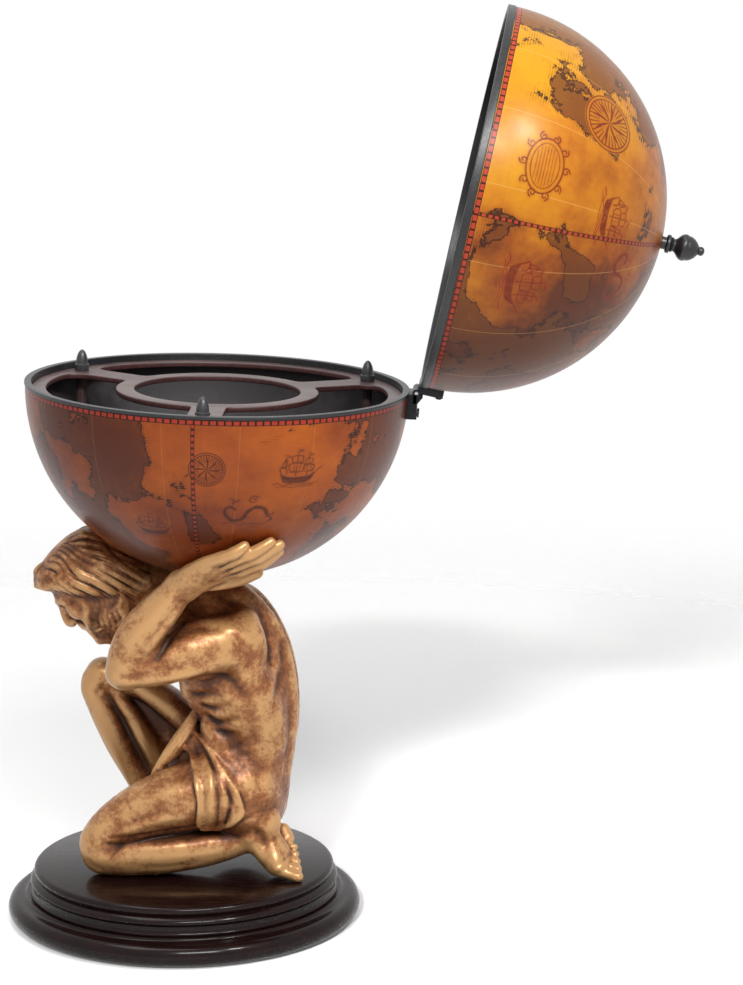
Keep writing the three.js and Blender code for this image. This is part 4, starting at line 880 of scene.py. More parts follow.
# head, in its own frame: forward, towards the near side, up. The face is a plain classical one
head = {
    "voxel": 1.0, "centre": (-95.2, 0, 384), "tilt": 47,
    "skull": ((-4, 0, 12), (44, 38, 40)),
    "face": [(12, 0, 24, 33, 29), (15, 0, 8, 33, 28.5), (15, 0, -8, 30, 28), (15, 0, -24, 25, 27),
             (17, 0, -38, 18, 22)],
    "brow": [(33, -25, 12, 4, 5), (41, -13, 15, 4.5, 5.5), (43, 0, 13, 4.5, 5),
             (41, 13, 15, 4.5, 5.5), (33, 25, 12, 4, 5)],
    "cheek": ((31, 23, -6), (11, 11, 11)),
    "nose": [(41, 0, 14, 4, 6), (45.5, 0, 6, 3.8, 6.5), (50.5, 0, -3, 4.2, 7),
             (54, 0, -10, 5, 6.4), (53, 0, -14, 4.4, 4.6)],
    "wing": ((49.5, 5.8, -13), (5, 3.8, 4.2)),
    "socket": ((44, 14.5, 4), (8, 9.5, 6.5)),
    "eye": ((36.2, 14.5, 3.5), (7.4, 8.2, 7.2)),
    "upperLid": [(38, 6.5, 2.5, 1.5, 1.8), (43.4, 11, 6, 1.5, 2.2), (43.4, 17, 6, 1.5, 2.2),
                 (37.5, 23.5, 2.5, 1.5, 1.8)],
    "lowerLid": [(38, 7, 1.5, 1.3, 1.6), (42.4, 12, -1, 1.3, 1.8), (42.2, 17, -1, 1.3, 1.8),
                 (37.5, 23, 1.5, 1.3, 1.6)],
    "lip": [(40, -11, -29, 3, 3), (44.5, 0, -30, 3.4, 3.6), (40, 11, -29, 3, 3)],
    "upperLip": [(41, -10, -25, 2.4, 3), (46, -3, -23.5, 2.8, 3), (46, 3, -23.5, 2.8, 3),
                 (41, 10, -25, 2.4, 3)],
    "jaw": [(22, 0, -36, 24, 20), (30, 0, -48, 18, 17)],
    # profiles of the hair, from the hairline to the nape: forward, up, and the reach to the side
    "hairTop": [(35, 34), (45, 44), (38, 54), (15, 60), (-12, 60), (-35, 53), (-49, 38), (-56, 16),
                (-58, -10), (-54, -38)],
    "hairSide": [(26, 33, 14), (21, 40, 15), (12, 43, 14), (0, 46, 12), (-12, 46, 8), (-24, 45, 2),
                 (-36, 41, -6), (-45, 36, -14), (-50, 31, -24), (-52, 25, -34)],
    "hairUnder": [(6, -12), (2, -22), (-3, -36), (-9, -50), (-16, -62), (-23, -71), (-30, -77),
                  (-36, -80), (-41, -82), (-46, -84)],
    # where the strands end, as shares back from the hairline and degrees down from the crown
    "hairEdge": [(0.0, 4), (0.0, 30), (0.0, 56), (0.02, 78), (0.06, 98), (0.16, 114), (0.32, 126),
                 (0.5, 132), (0.68, 134), (0.84, 128), (0.98, 112), (1.0, 84), (1.0, 50),
                 (1.0, 16)],
    "vertex": 0.36, "shareReach": 170, "turnReach": 0.8,
    "beardFrom": ((12, 35, 2), (-22, 37, -26)),
    "beardTo": [(40, 16, -31), (45, 6, -48), (33, 7, -60), (8, 18, -62)],
    "middle": (-8, 0, 0), "beardMiddle": (4, 0, -24), "locks": 15, "strands": 45,
}
headCentre = np.array(head["centre"])
tilt = radians(head["tilt"])
headAxes = np.array([[-cos(tilt), 0, -sin(tilt)], [0, -1, 0], [-sin(tilt), 0, cos(tilt)]]).T
headPlace = np.hstack([headAxes, headCentre[:, None]])
hairMiddle = np.array([-8, 0, 8])
maker = np.random.default_rng(7)


# a point of the hair's surface: share runs from the hairline back, turn is degrees from the crown
def hairSpot(share, turn, lift=0.0):
    top, side, under = (np.array(head[key], float) for key in ("hairTop", "hairSide", "hairUnder"))
    place = share * (len(top) - 1)
    lookup = lambda column: np.interp(place, np.arange(len(column)), column)
    c, s = cos(radians(turn)), sin(radians(turn))
    if c > 0:
        forward = lookup(top[:, 0]) * c * c + lookup(side[:, 0]) * (1 - c * c)
        up = lookup(side[:, 2]) + (lookup(top[:, 1]) - lookup(side[:, 2])) * c
    else:
        forward = lookup(under[:, 0]) * c * c + lookup(side[:, 0]) * (1 - c * c)
        up = lookup(side[:, 2]) + (lookup(under[:, 1]) - lookup(side[:, 2])) * -c
    spot = np.array([forward, lookup(side[:, 1]) * s, up])
    away = spot - hairMiddle
    return spot + away / np.linalg.norm(away) * lift


# a wavy strand from the crown to the hair's edge; neighbours wave together
def strandSpots(place, side, begin, lift, count=14):
    edge = np.array(head["hairEdge"], float)
    where = place * (len(edge) - 1)
    end = np.array([np.interp(where, np.arange(len(edge)), edge[:, k]) for k in (0, 1)])
    scale = np.array([head["shareReach"], head["turnReach"]])
    start = np.array([head["vertex"], 2]) * scale
    span = end * scale - start
    across = np.array([-span[1], span[0]]) / np.linalg.norm(span)
    spots = []
    for t in np.linspace(begin, 1, count):
        sway = (3.2 + 1.4 * sin(place * 17)) * sin(t * 2.1 * tau + place * 13)
        sway += 7 * sin(pi * t)
        share, turn = (start + span * t + across * sway) / scale
        spots.append(hairSpot(min(max(share, 0), 1), side * max(turn, 1), lift))
    return spots


# a point of the beard's surface: place runs from the moustache to the jaw, t from ear to chin
def beardSpot(place, t, side, lift, phase=0.0):
    start = np.array(head["beardFrom"][0]) * (1 - place) + np.array(head["beardFrom"][1]) * place
    ends = np.array(head["beardTo"], float)
    end = np.array([np.interp(place, [0, 0.4, 0.7, 1], ends[:, k]) for k in range(3)])
    swell = 8 * sin(pi * t)
    sway = 1.8 * sin(2.2 * tau * t + phase)
    spot = start * (1 - t) + end * t + np.array([swell * 0.2, swell * 0.9 + lift, -swell * 0.25])
    spot += np.array([0.6, 0.1, 0.7]) * sway
    return spot * np.array([1, side, 1])


def makeHead():
    clay = newClay((-66, -58, -76), (68, 58, 74), head["voxel"])
    flip = lambda place, side: (place[0], place[1] * side, place[2])
    level, locksSide = (0, 0, 1), (0.3, 1, 0.2)  # the widths' directions
    addBall(clay, *head["skull"], 0)
    addForm(clay, head["face"], 10)
    addForm(clay, head["brow"], 7, level)
    for side in (1, -1):
        addBall(clay, flip(head["cheek"][0], side), head["cheek"][1], 12)
        addBall(clay, flip(head["socket"][0], side), head["socket"][1], 6, carve=True)
        addBall(clay, flip(head["eye"][0], side), head["eye"][1], 1)
        addForm(clay, mirrored(head["upperLid"], side), 2.2, level)
        addForm(clay, mirrored(head["lowerLid"], side), 2.4, level)
    addForm(clay, head["nose"], 5)
    for side in (1, -1):
        addBall(clay, flip(head["wing"][0], side), head["wing"][1], 3)
        addBall(clay, (50, 3.8 * side, -17), (2.2, 1.8, 2), 1.5, carve=True)
    addForm(clay, head["upperLip"], 2.5, level)
    addForm(clay, head["lip"], 2.5, level)
    addForm(clay, head["jaw"], 8)
    print("figure: face forms laid")
    for turn in range(-144, 145, 9):  # the mass of the hair, under the locks
        rows = [(*hairSpot(share, turn, -11.5), 9, 9 * min(1, 0.7 + share * 3))
                for share in np.linspace(0.03, 1, 9)]
        addForm(clay, rows, 6, locksSide)
    locks, count = head["locks"], 12
    shares = np.linspace(0, 1, count)
    for side in (1, -1):
        for offset, begin, lift in ((0.5, 0.08, -5.5), (0.05, 0.4, -4.2)):  # two layers of locks
            for number in range(locks):
                place = (number + offset + maker.uniform(-0.12, 0.12)) / locks
                quiff = max(0, 1 - place * 3.2)
                grow = np.interp(shares, [0, 0.25, 0.7, 1], [0.45, 1, 0.95, 0.3 + 0.3 * quiff])
                grow *= maker.uniform(0.86, 1.12)
                rows = []
                for spot, size, t in zip(
                        strandSpots(place, side, begin, lift, count), grow, shares):
                    out = spot - hairMiddle
                    rise = (2.0 + 4.5 * quiff) * sin(pi * t) ** 2 + maker.uniform(-0.3, 0.3)
                    rows.append((*(spot + out / np.linalg.norm(out) * rise), 5.8 * size,
                                 5.6 * size))
                addForm(clay, rows, 1.6, locksSide, 3)
    print("figure: hair mass laid")
    strands = head["strands"]
    for side in (1, -1):
        for number in range(strands):
            place, begin = (number + 0.5) / strands, (0.14, 0.36, 0.24)[number % 3]
            stroke(clay, strandSpots(place, side, begin, 12), 1.2, -2.2, steps=3, ends=0.12,
                   middle=head["middle"])
    print("figure: hair worked")
    for side in (1, -1):
        addBeard(clay, side, locksSide)
    print("figure: beard laid")
    cutByGlobe(clay, headPlace)
    return clay


def addBeard(clay, side, locksSide):
    for number in range(9):  # the mass of the beard, under the locks
        rows = [(*beardSpot(number / 8, t, side, -2.2), 5, 4.6) for t in np.linspace(0, 0.96, 8)]
        addForm(clay, rows, 5, locksSide, 3)
    for number in range(9):
        place, size = (number + 0.4) / 9, maker.uniform(0.9, 1.15)
        grow = np.interp(np.linspace(0, 1, 12), [0, 0.2, 0.8, 1], [0.5, 1, 0.95, 0.55]) * size
        rows = [(*beardSpot(place, t, side, 0.2, number * 0.45), 4.5 * size, 4 * size)
                for t, size in zip(np.linspace(-0.05, 1.04, 12), grow)]
        addForm(clay, rows, 2.0, locksSide, 3)
    for number in range(7):  # curls at the beard's end
        root = np.array([44 - number * 5.2, side * (3 + number * 2.4), -46 - 1.8 * number])
        spots = [root + np.array([3.2 * sin(a + number), side * 2.8 * sin(a * 0.8),
                                  3 - 17 * a / 5.4]) for a in np.linspace(0, 5.4, 9)]
        rows = [(*spot, 4.2 * size, 4.0 * size)
                for spot, size in zip(spots, np.linspace(1.05, 0.45, 9))]
        addForm(clay, rows, 1.0, locksSide, 3)
    for number in range(27):
        place = (number + 0.4) / 27
        spots = [beardSpot(place, t, side, 12, (place * 9 - 0.4) * 0.45)
                 for t in np.linspace(0.0, 1.05, 12)]
        stroke(clay, spots, 0.95, -1.2, steps=3, ends=0.1, middle=head["beardMiddle"])
    for number in range(3):  # moustache
        rows = [(47.5 - number * 0.6, 2.5, -19 - number * 1.6), (46, 9, -20.5 - number * 2.2),
                (41, 16, -25 - number * 2.6), (35, 22, -33 - number * 2), (30, 26, -39)]
        rows = [(*row, size, size * 0.85) for row, size in zip(rows, (2.4, 3.4, 3.2, 2.6, 1.6))]
        addForm(clay, mirrored(rows, side), 0.8, (0, 0, 1), 3)


headMesh = clayMesh("figureHead", makeHead(), 6, 1.8)
headMesh.transform(Matrix(headPlace.tolist() + [[0, 0, 0, 1]]))
headPiece = finishPiece("figureHead", headMesh, "stand", bronze, ["kneeling_figure"])
print("figure: head", len(headPiece.data.polygons), "faces")


# globe shells: varnished paper print of an old sea chart outside, plain inside
# drawings are in mm round their middle: lines with their half width, and closed patches
def curlPoints(centre, radius, start, turns, shrink=0.25):
    found = []
    for share in np.linspace(0, 1, 10):
        reach, angle = radius * (1 - (1 - shrink) * share), start + turns * tau * share
        found.append((centre[0] + reach * cos(angle), centre[1] + reach * sin(angle)))
    return found


def ellipsePoints(wide, high, angles=np.linspace(0, tau, 25)):
    return [(wide * cos(a), high * sin(a)) for a in angles]


shipDrawing = {
    "reach": 42,
    "lines": [([(-27, 1), (-30, 10), (-20, 9), (-19, 1)], 0.8), ([(-22, 9), (-22, 26)], 0.7),
              ([(-4, -2), (-4, 35)], 0.8), ([(14, -2), (14, 28)], 0.7), ([(24, -1), (39, 10)], 0.8),
              ([(-13, 4), (-16, 10), (-14, 17), (6, 17), (9, 10), (5, 4), (-13, 4)], 0.8),
              ([(-11, 19), (-13, 24), (-11, 29), (3, 29), (5, 24), (3, 19), (-11, 19)], 0.8),
              ([(8, 4), (7, 9), (9, 14), (22, 14), (25, 9), (21, 4), (8, 4)], 0.8),
              ([(10, 16), (9, 20), (11, 24), (19, 24), (21, 20), (18, 16), (10, 16)], 0.7),
              ([(-28, 12), (-22, 24), (-19, 13), (-28, 12)], 0.7), ([(-8, 5), (-8, 16)], 0.45),
              ([(1, 5), (1, 16)], 0.45), ([(12, 5), (12, 13)], 0.45), ([(18, 5), (18, 13)], 0.45),
              ([(-4, 35), (4, 37), (-4, 39)], 0.6), ([(14, 28), (21, 30), (14, 32)], 0.6),
              ([(-22, 26), (-15, 28), (-22, 30)], 0.6),
              ([(-38, -17), (-30, -15), (-22, -18), (-12, -16), (0, -18), (12, -16), (24, -18),
                (36, -15)], 0.6), ([(-30, -21), (-18, -20), (-4, -22), (10, -20), (26, -21)], 0.5),
              ([(24, -1), (14, 28)], 0.35)],
    "patches": [[(-29, 1), (-25, -8), (-20, -14), (0, -15), (18, -13), (25, -5), (28, 1), (18, -3),
                 (0, -5), (-16, -4)]]}
beastDrawing = {
    "reach": 36,
    "lines": [([(-30, -6), (-20, -14), (-8, -10), (-2, 2), (8, 10), (20, 6), (26, -6)], 2.6),
              ([(26, -6), (32, -12), (27, -16)], 1.3), ([(26, -6), (33, -3), (35, 4)], 1.1),
              ([(-30, -6), (-33, 4), (-26, 10), (-19, 6)], 1.9),
              (curlPoints((4, 22), 7, 0.6, 1.2), 0.7),
              ([(-33, -20), (-22, -18), (-10, -21), (2, -18), (14, -21), (26, -19)], 0.6),
              ([(-24, 14), (-22, 20), (-27, 24)], 0.6), ([(-24, 14), (-19, 20), (-15, 22)], 0.6)],
    "patches": []}
scrollDrawing = {
    "reach": 44,
    "lines": [(ellipsePoints(34, 24), 1.0), (ellipsePoints(28, 18.5), 0.6),
              *(([(-half, rise), (half, rise)], 0.42) for rise, half in (
                  (-12, 17), (-8, 22), (-4, 24), (0, 25), (4, 24), (8, 22), (12, 17))),
              *((curlPoints(*ellipsePoints(37, 28, [a]), 5.5, a, copysign(1.2, sin(2 * a))), 0.9)
                for a in (0.3, 0.9, 1.57, 2.24, 2.84, 3.44, 4.04, 4.71, 5.38, 5.98))],
    "patches": []}


# distance from each point to the ink of a drawing
def drawnField(points, drawing):
    best = np.full(len(points), 9.0)
    for line, half in drawing["lines"]:
        rows = smoothRows(line, 3)
        for a, b in zip(rows, rows[1:]):
            span = b - a
            t = np.clip((points - a) @ span / (span @ span + 1e-9), 0, 1)
            best = np.minimum(best, np.hypot(*(points - a - t[:, None] * span).T) - half)
    for patch in drawing["patches"]:
        best = np.minimum(best, polygonField(patch, points[:, 0], points[:, 1], 3))
    return best


# outward, eastward and northward directions at a place on the globe, in degrees
def mapAxes(east, north):
    a, b = radians(east), radians(north)
    return np.array([[cos(b) * cos(a), cos(b) * sin(a), sin(b)],
                     [-sin(a), cos(a), 0],
                     [-sin(b) * cos(a), -sin(b) * sin(a), cos(b)]])


# finer faces where the drawings go, and how far each point is from their ink
def drawMap(mesh, drawings):
    work = bmesh.new()
    work.from_mesh(mesh)
    places = [(mapAxes(east, north), drawing, size) for drawing, east, north, size in drawings]
    for face in list(work.faces):
        middle = np.array(face.calc_center_median())
        if np.linalg.norm(middle) > globePlace["radius"] - 2 and any(
                axes[0] @ middle > 0 and np.hypot(*(axes[1:] @ middle)) < drawing["reach"] * size
                for axes, drawing, size in places):
            face.tag = True
    edges = {e for f in work.faces if f.tag for e in f.edges}
    bmesh.ops.subdivide_edges(work, edges=list(edges), cuts=7, use_grid_fill=True)
    bakeMesh(work, mesh)
    spots = np.zeros(len(mesh.vertices) * 3)
    mesh.vertices.foreach_get("co", spots)
    spots = spots.reshape(-1, 3)
    length = np.linalg.norm(spots, axis=1)
    outside = length > globePlace["radius"] - 1
    spots[outside] *= (globePlace["radius"] / length[outside])[:, None]
    ink, clear = np.full(len(spots), 9.0), np.zeros(len(spots))
    for axes, drawing, size in places:
        local = spots @ axes.T
        near = outside & (local[:, 0] > 0)
        near &= np.hypot(local[:, 1], local[:, 2]) < drawing["reach"] * size * 1.6
        flat = local[near][:, 1:] / size
        ink[near] = np.minimum(ink[near], drawnField(flat, drawing) * size)
        away = np.hypot(*flat.T) / drawing["reach"]
        clear[near] = np.maximum(clear[near], np.clip(1.6 - away, 0, 0.6) / 0.6)
    mesh.vertices.foreach_set("co", spots.ravel())
    for label, values in (("ink", ink), ("openSea", clear)):
        mesh.attributes.new(label, "FLOAT", "POINT").data.foreach_set("value",
                                                                      values.astype(np.float32))
    return mesh


# the print: a red and black rim band, chains along four meridians, faint seams between the gores,
# a line at each level, coasts from noise with a hatched shore, drawings in worn ink; over the sea,
# painted shade that darkens it towards one side and towards the pole
chart = {"band": 5.6, "bandLine": 0.75, "dashes": 164, "dashGap": 0.26, "meridian": -92.2,
         "chain": 2.2, "chainLine": 0.65, "link": 6.8, "linkGap": 0.42, "gores": 16, "seam": 0.45,
         "levels": 12, "levelLine": 0.006, "coastGrain": 80, "stainGrain": 120, "paperGrain": 7,
         "coastLine": 0.009, "shore": 0.05, "belt": 0.085, "belts": 3, "clearing": -0.4,
         "hatch": 2.8, "hatchInk": 0.6, "inkEdge": -1.4, "haloEdge": -0.3, "halo": 0.9,
         "wear": 1.6, "stain": 1.5, "fibre": 0.25, "mottle": 0.9}
rose = {"rays": 32, "rayWidth": 0.3, "rayFrom": 0.42, "rayTo": 0.82, "points": 8,
        "pointSlope": 1.2, "pointFoot": 0.12, "ring": 0.9, "ringGap": 0.06, "ringLine": 0.022,
        "ink": 0.75}


# chains of sums: the name of the result, a known value to start from, operations with their inputs
takes = {"ABSOLUTE": 0, "FRACT": 0, "SQRT": 0, "ARCSINE": 0, "COSINE": 0, "MULTIPLY_ADD": 2}


def runChains(tree, known, chains):
    for target, start, *rest in chains:
        value = known[start]
        while rest:
            operation, rest = rest[0], rest[1:]
            count = takes.get(operation, 1)
            parts = [known.get(part, part) for part in rest[:count]]
            rest = rest[count:]
            clamp = rest[:1] == ["clamp"]
            rest = rest[1:] if clamp else rest
            value = mathNode(tree, operation, value, *parts, clamp=clamp)
        known[target] = value


def alongAxis(name, axis):
    return [(name, "x", "MULTIPLY", axis[0]), (name, "y", "MULTIPLY_ADD", axis[1], name),
            (name, "z", "MULTIPLY_ADD", axis[2], name)]


def mapChains(look):
    radius, turn = globePlace["radius"], radians(chart["meridian"])
    half, gores, belts = chart["band"] / 2, chart["gores"], chart["belts"]
    return [
        ("down", "z", "ABSOLUTE"), ("angle", "y", "ARCTAN2", "x"),
        ("north", "z", "DIVIDE", radius, "ARCSINE"),
        ("bandOff", "down", "SUBTRACT", look["bandStart"] + half, "ABSOLUTE"),
        ("inBand", "bandOff", "LESS_THAN", half),
        ("bandEdge", "bandOff", "GREATER_THAN", half - chart["bandLine"]),
        ("bandInk", "angle", "MULTIPLY", chart["dashes"] / tau, "FRACT", "LESS_THAN",
         chart["dashGap"], "MAXIMUM", "bandEdge"),
        *alongAxis("u", (sin(turn), -cos(turn), 0)), ("u", "u", "ABSOLUTE"),
        *alongAxis("v", (cos(turn), sin(turn), 0)), ("v", "v", "ABSOLUTE"),
        ("across", "u", "MINIMUM", "v"), ("inChain", "across", "LESS_THAN", chart["chain"]),
        ("chainEdge", "across", "GREATER_THAN", chart["chain"] - chart["chainLine"]),
        ("chainInk", "north", "MULTIPLY", radius / chart["link"], "FRACT", "LESS_THAN",
         chart["linkGap"], "MAXIMUM", "chainEdge"),
        ("flat", "north", "COSINE"),
        ("seam", "angle", "MULTIPLY", gores / tau, "FRACT", "SUBTRACT", 0.5, "ABSOLUTE", "MULTIPLY",
         tau * radius / gores, "MULTIPLY", "flat", "LESS_THAN", chart["seam"]),
        ("level", "north", "MULTIPLY", chart["levels"] / pi, "FRACT", "SUBTRACT", 0.5, "ABSOLUTE",
         "LESS_THAN", chart["levelLine"]),
        ("belt", "angle", "MULTIPLY_ADD", belts, -belts * radians(look["seaMiddle"]), "COSINE"),
        ("land", "noise", "SUBTRACT", look["shoreLevel"]),
        ("land", "openSea", "MULTIPLY_ADD", chart["clearing"], "land"),
        ("land", "belt", "MULTIPLY_ADD", -chart["belt"], "land"),
        ("coast", "land", "ABSOLUTE", "LESS_THAN", chart["coastLine"]),
        ("inLand", "land", "GREATER_THAN", 0), ("seaward", "land", "LESS_THAN", 0),
        ("hatch", "z", "DIVIDE", chart["hatch"], "FRACT", "LESS_THAN", 0.5),
        ("shore", "land", "DIVIDE", -chart["shore"], "MULTIPLY_ADD", -1, 1, "MULTIPLY", "seaward",
         "MAXIMUM", 0, "MULTIPLY", "hatch", "MULTIPLY", chart["hatchInk"]),
        ("wear", "grain", "MULTIPLY_ADD", chart["wear"], 0.1, "clamp"),
        ("drawn", "ink", "MULTIPLY_ADD", chart["inkEdge"], 0.5, "clamp", "MULTIPLY", "wear"),
        ("halo", "ink", "MULTIPLY_ADD", chart["haloEdge"], chart["halo"], "clamp", "MULTIPLY",
         "wear"),
        # painted shade: the sea's tone darkens towards one side of the shell and towards the pole
        ("shift", "x", "MULTIPLY", look["sideShadeSlope"]),
        ("shift", "down", "MULTIPLY_ADD", look["poleShadeSlope"], "shift", "ADD", look["toneStart"]),
        ("tone", "stain", "MULTIPLY_ADD", chart["stain"], "shift"),
        ("tone", "grain", "MULTIPLY_ADD", chart["fibre"], "tone"),
        ("mottle", "grain", "MULTIPLY_ADD", chart["mottle"], "stain")]


# one compass rose: rays, an eight-pointed star and a double ring on a clear disc
def roseChains(east, north, radius):
    points, ink = rose["points"] / tau, rose["ink"]
    out, right, up = mapAxes(east, north)
    return [
        *alongAxis("out", out), *alongAxis("a", right), *alongAxis("b", up),
        ("far", "a", "MULTIPLY", "a"),
        ("far", "b", "MULTIPLY_ADD", "b", "far", "SQRT", "DIVIDE", radius),
        ("disc", "far", "LESS_THAN", 1), ("disc", "out", "GREATER_THAN", 0, "MULTIPLY", "disc"),
        ("spin", "b", "ARCTAN2", "a"),
        ("rayFrom", "far", "GREATER_THAN", rose["rayFrom"]),
        ("rayTo", "far", "LESS_THAN", rose["rayTo"]),
        ("ray", "spin", "MULTIPLY", rose["rays"] / tau, "FRACT", "LESS_THAN", rose["rayWidth"],
         "MULTIPLY", "rayFrom", "MULTIPLY", "rayTo"),
        ("half", "spin", "MULTIPLY", points, "FRACT", "GREATER_THAN", 0.5),
        ("point", "spin", "MULTIPLY", points, "FRACT", "SUBTRACT", 0.5, "ABSOLUTE", "MULTIPLY_ADD",
         rose["pointSlope"], rose["pointFoot"]),
        ("star", "far", "LESS_THAN", "point", "MULTIPLY", "half"),
        ("ring", "far", "SUBTRACT", rose["ring"], "ABSOLUTE", "SUBTRACT", rose["ringGap"],
         "ABSOLUTE", "LESS_THAN", rose["ringLine"]),
        ("drawn", "ray", "MAXIMUM", "star", "MAXIMUM", "ring", "MULTIPLY_ADD", ink, 1 - ink,
         "MULTIPLY", "disc", "MAXIMUM", "drawn"),
        ("clearing", "disc", "MULTIPLY_ADD", -1, 1),
        *((mask, mask, "MULTIPLY", "clearing") for mask in ("inLand", "coast", "shore"))]


# varnished paper print of an old sea chart: a golden or red-brown sea with smoky stains, brown
# land, dark ink, red bands, and a soft gloss from the varnish; the sea lightens and darkens across
# the shell as painted light and shade
def newMap(name, place, look):
    material, tree, shader = newMaterial(name, {"Specular IOR Level": 0.05, "Coat Weight": 0.4,
                                                "Coat Roughness": 0.28, "Coat IOR": 1.42})
    toPrint = place.inverted()
    local = addNode(tree, "Mapping", {
        "Location": toPrint.to_translation(), "Rotation": toPrint.to_euler(),
        "Scale": (1 / mm, 1 / mm, 1 / mm), "Vector": addNode(tree, "TexCoord", out="Object")})
    known = {key: addNode(tree, "SeparateXYZ", {0: local}, i) for i, key in enumerate("xyz")}
    known["noise"] = noiseNode(tree, local, 1 / chart["coastGrain"], 7, 0.6, Distortion=0.25)
    known["stain"] = noiseNode(tree, local, 1 / chart["stainGrain"], 4, 0.6)
    known["grain"] = noiseNode(tree, local, 1 / chart["paperGrain"], 5, 0.7)
    for key in ("ink", "openSea"):
        known[key] = attributeNode(tree, key)
    runChains(tree, known, mapChains(look))
    for row in look["roses"]:
        runChains(tree, known, roseChains(*row))
    colour = addNode(tree, "ValToRGB", {0: known["tone"]}, stops=look["sea"])
    ground = addNode(tree, "ValToRGB", {0: known["mottle"]}, stops=look["land"])
    band, chain = (mixNode(tree, known[key], look["red"], look["ink"])
                   for key in ("bandInk", "chainInk"))
    for mask, strength, over in (
            ("inLand", 0.85, ground), ("shore", 1, look["ink"]), ("coast", 0.85, look["ink"]),
            ("level", 0.12, look["ink"]), ("seam", look["seam"], "#e2b06a"),
            ("halo", 0.4, look["tint"]), ("drawn", 0.92, look["drawing"]),
            ("inChain", 0.9, chain), ("inBand", 1, band)):
        colour = mixNode(tree, mathNode(tree, "MULTIPLY", known[mask], strength), colour, over)
    finishShader(tree, shader, colour, (known["grain"], 0.28, 0.42), (0.3, 0.7),
                 (known["grain"], 0.04, 0.3))
    return material


# sideShadeSlope and poleShadeSlope set the painted shade of the sea on each shell
bowlLook = {"bandStart": 1.9, "shoreLevel": 0.53, "seaMiddle": -74, "sideShadeSlope": -0.0007,
            "poleShadeSlope": 0.0002, "toneStart": 0.0, "ink": "#24100c", "red": "#9a3422",
            "drawing": "#44190e", "tint": "#7a3212", "seam": 0.1,
            "sea": [(0.3, "#bf6b1c"), (0.62, "#a6521a"), (1.0, "#7a3516")],
            "land": [(0.5, "#7c3c19"), (0.85, "#4e2414")],
            "roses": [(-88, -15.3, 20), (28, -20, 20), (140, -18, 20)],
            "drawings": [(shipDrawing, -60, -17, 0.72), (beastDrawing, -74, -30, 0.8),
                         (shipDrawing, -108, -38, 0.6), (shipDrawing, 52, -18, 0.75),
                         (beastDrawing, 95, -24, 0.9),
                         (shipDrawing, 165, -24, 0.75)]}
lidLook = {"bandStart": 0.6, "shoreLevel": 0.53, "seaMiddle": -116, "sideShadeSlope": 0.0019,
           "poleShadeSlope": 0.0012, "toneStart": -0.26, "ink": "#2f150d", "red": "#a83a28",
           "drawing": "#6a210f", "tint": "#9c3a14", "seam": 0.3,
           "sea": [(0.25, "#c78a1a"), (0.6, "#b36c1b"), (0.82, "#8f4a19"), (1.0, "#5a2b16")],
           "land": [(0.5, "#9a6322"), (0.85, "#643618")],
           "roses": [(-134, 34.4, 33), (-20, 30, 30), (70, 34, 32)],
           "drawings": [(scrollDrawing, -110, 17, 0.85), (shipDrawing, -74, 17, 0.85),
                        (shipDrawing, -100, 42, 0.8), (beastDrawing, -75, 52, 0.8),
                        (shipDrawing, 30, 22, 0.85), (scrollDrawing, 110, 20, 0.85),
                        (beastDrawing, 160, 30, 1.0)]}
bowlMap = newMap("varnishedBowlChart", globeFrame, bowlLook)
lidMap = newMap("varnishedLidChart", domeFrame, lidLook)


# one half shell: profile from the hole at the pole to the rim, outside and inside
def shellMesh(name, drop, hole, flip):
    outer, inner = globePlace["radius"], globePlace["radius"] - globePlace["wall"]
    profile = []
    for radius, order in ((outer, 1), (inner, -1)):
        edge = -degrees(asin(drop / radius))
        pole = -90 + degrees(asin(hole / radius))
        points = arcPoints((0, 0), radius, pole, edge, 64)
        profile += points[::order]
    if flip:
        profile = [(r, -z) for r, z in profile]
    return turnedMesh(name, profile, 192, closed=True)


for name, drop, hole, flip, ride, paint, node, place, look in (
        ("bowlShell", 1.8, 5.4, False, "stand", bowlMap, "lower_shell", globeFrame, bowlLook),
        ("lidShell", 0, 3.4, True, "lid", lidMap, "upper_shell", domeFrame, lidLook)):
    piece = finishPiece(name, drawMap(shellMesh(name, drop, hole, flip), look["drawings"]), ride,
                        paint, [node], place, 40)
    piece.data.materials.append(lining)
    middle = np.array(place.to_translation())
    for face in piece.data.polygons:  # the inner wall has no print
        if np.linalg.norm(np.array(face.center) / mm - middle) < globePlace["radius"] - 1.5:
            face.material_index = 1

rim = {"radius": 210.8, "inner": 203.36, "skirt": 205.36, "top": 2, "lip": 3.5, "depth": 10,
       "band": 8.6, "gap": 0.3, "round": 0.8}


# a closed profile with each corner eased by an arc of the radius
def roundedProfile(corners, radius, steps=4):
    found = []
    for i, corner in enumerate(corners):
        before, after = Vector(corners[i - 1]), Vector(corners[(i + 1) % len(corners)])
        here = Vector(corner)
        ease = min(radius, (before - here).length / 2.2, (after - here).length / 2.2)
        start = here + (before - here).normalized() * ease
        end = here + (after - here).normalized() * ease
        found += bendPoints(tuple(start), tuple(here), tuple(end), steps)
    return found


def rimProfiles():
    radius, inner, skirt, depth = (rim[key] for key in ("radius", "inner", "skirt", "depth"))
    top, bottom, band, gap = rim["top"], rim["top"] - rim["lip"], rim["band"], rim["gap"]
    return ([(inner, bottom - depth), (skirt, bottom - depth), (skirt, bottom), (radius, bottom),
             (radius, top), (inner, top)],
            [(inner, -band), (radius, -band), (radius, -gap), (skirt, -gap), (skirt, depth),
             (inner, depth)])


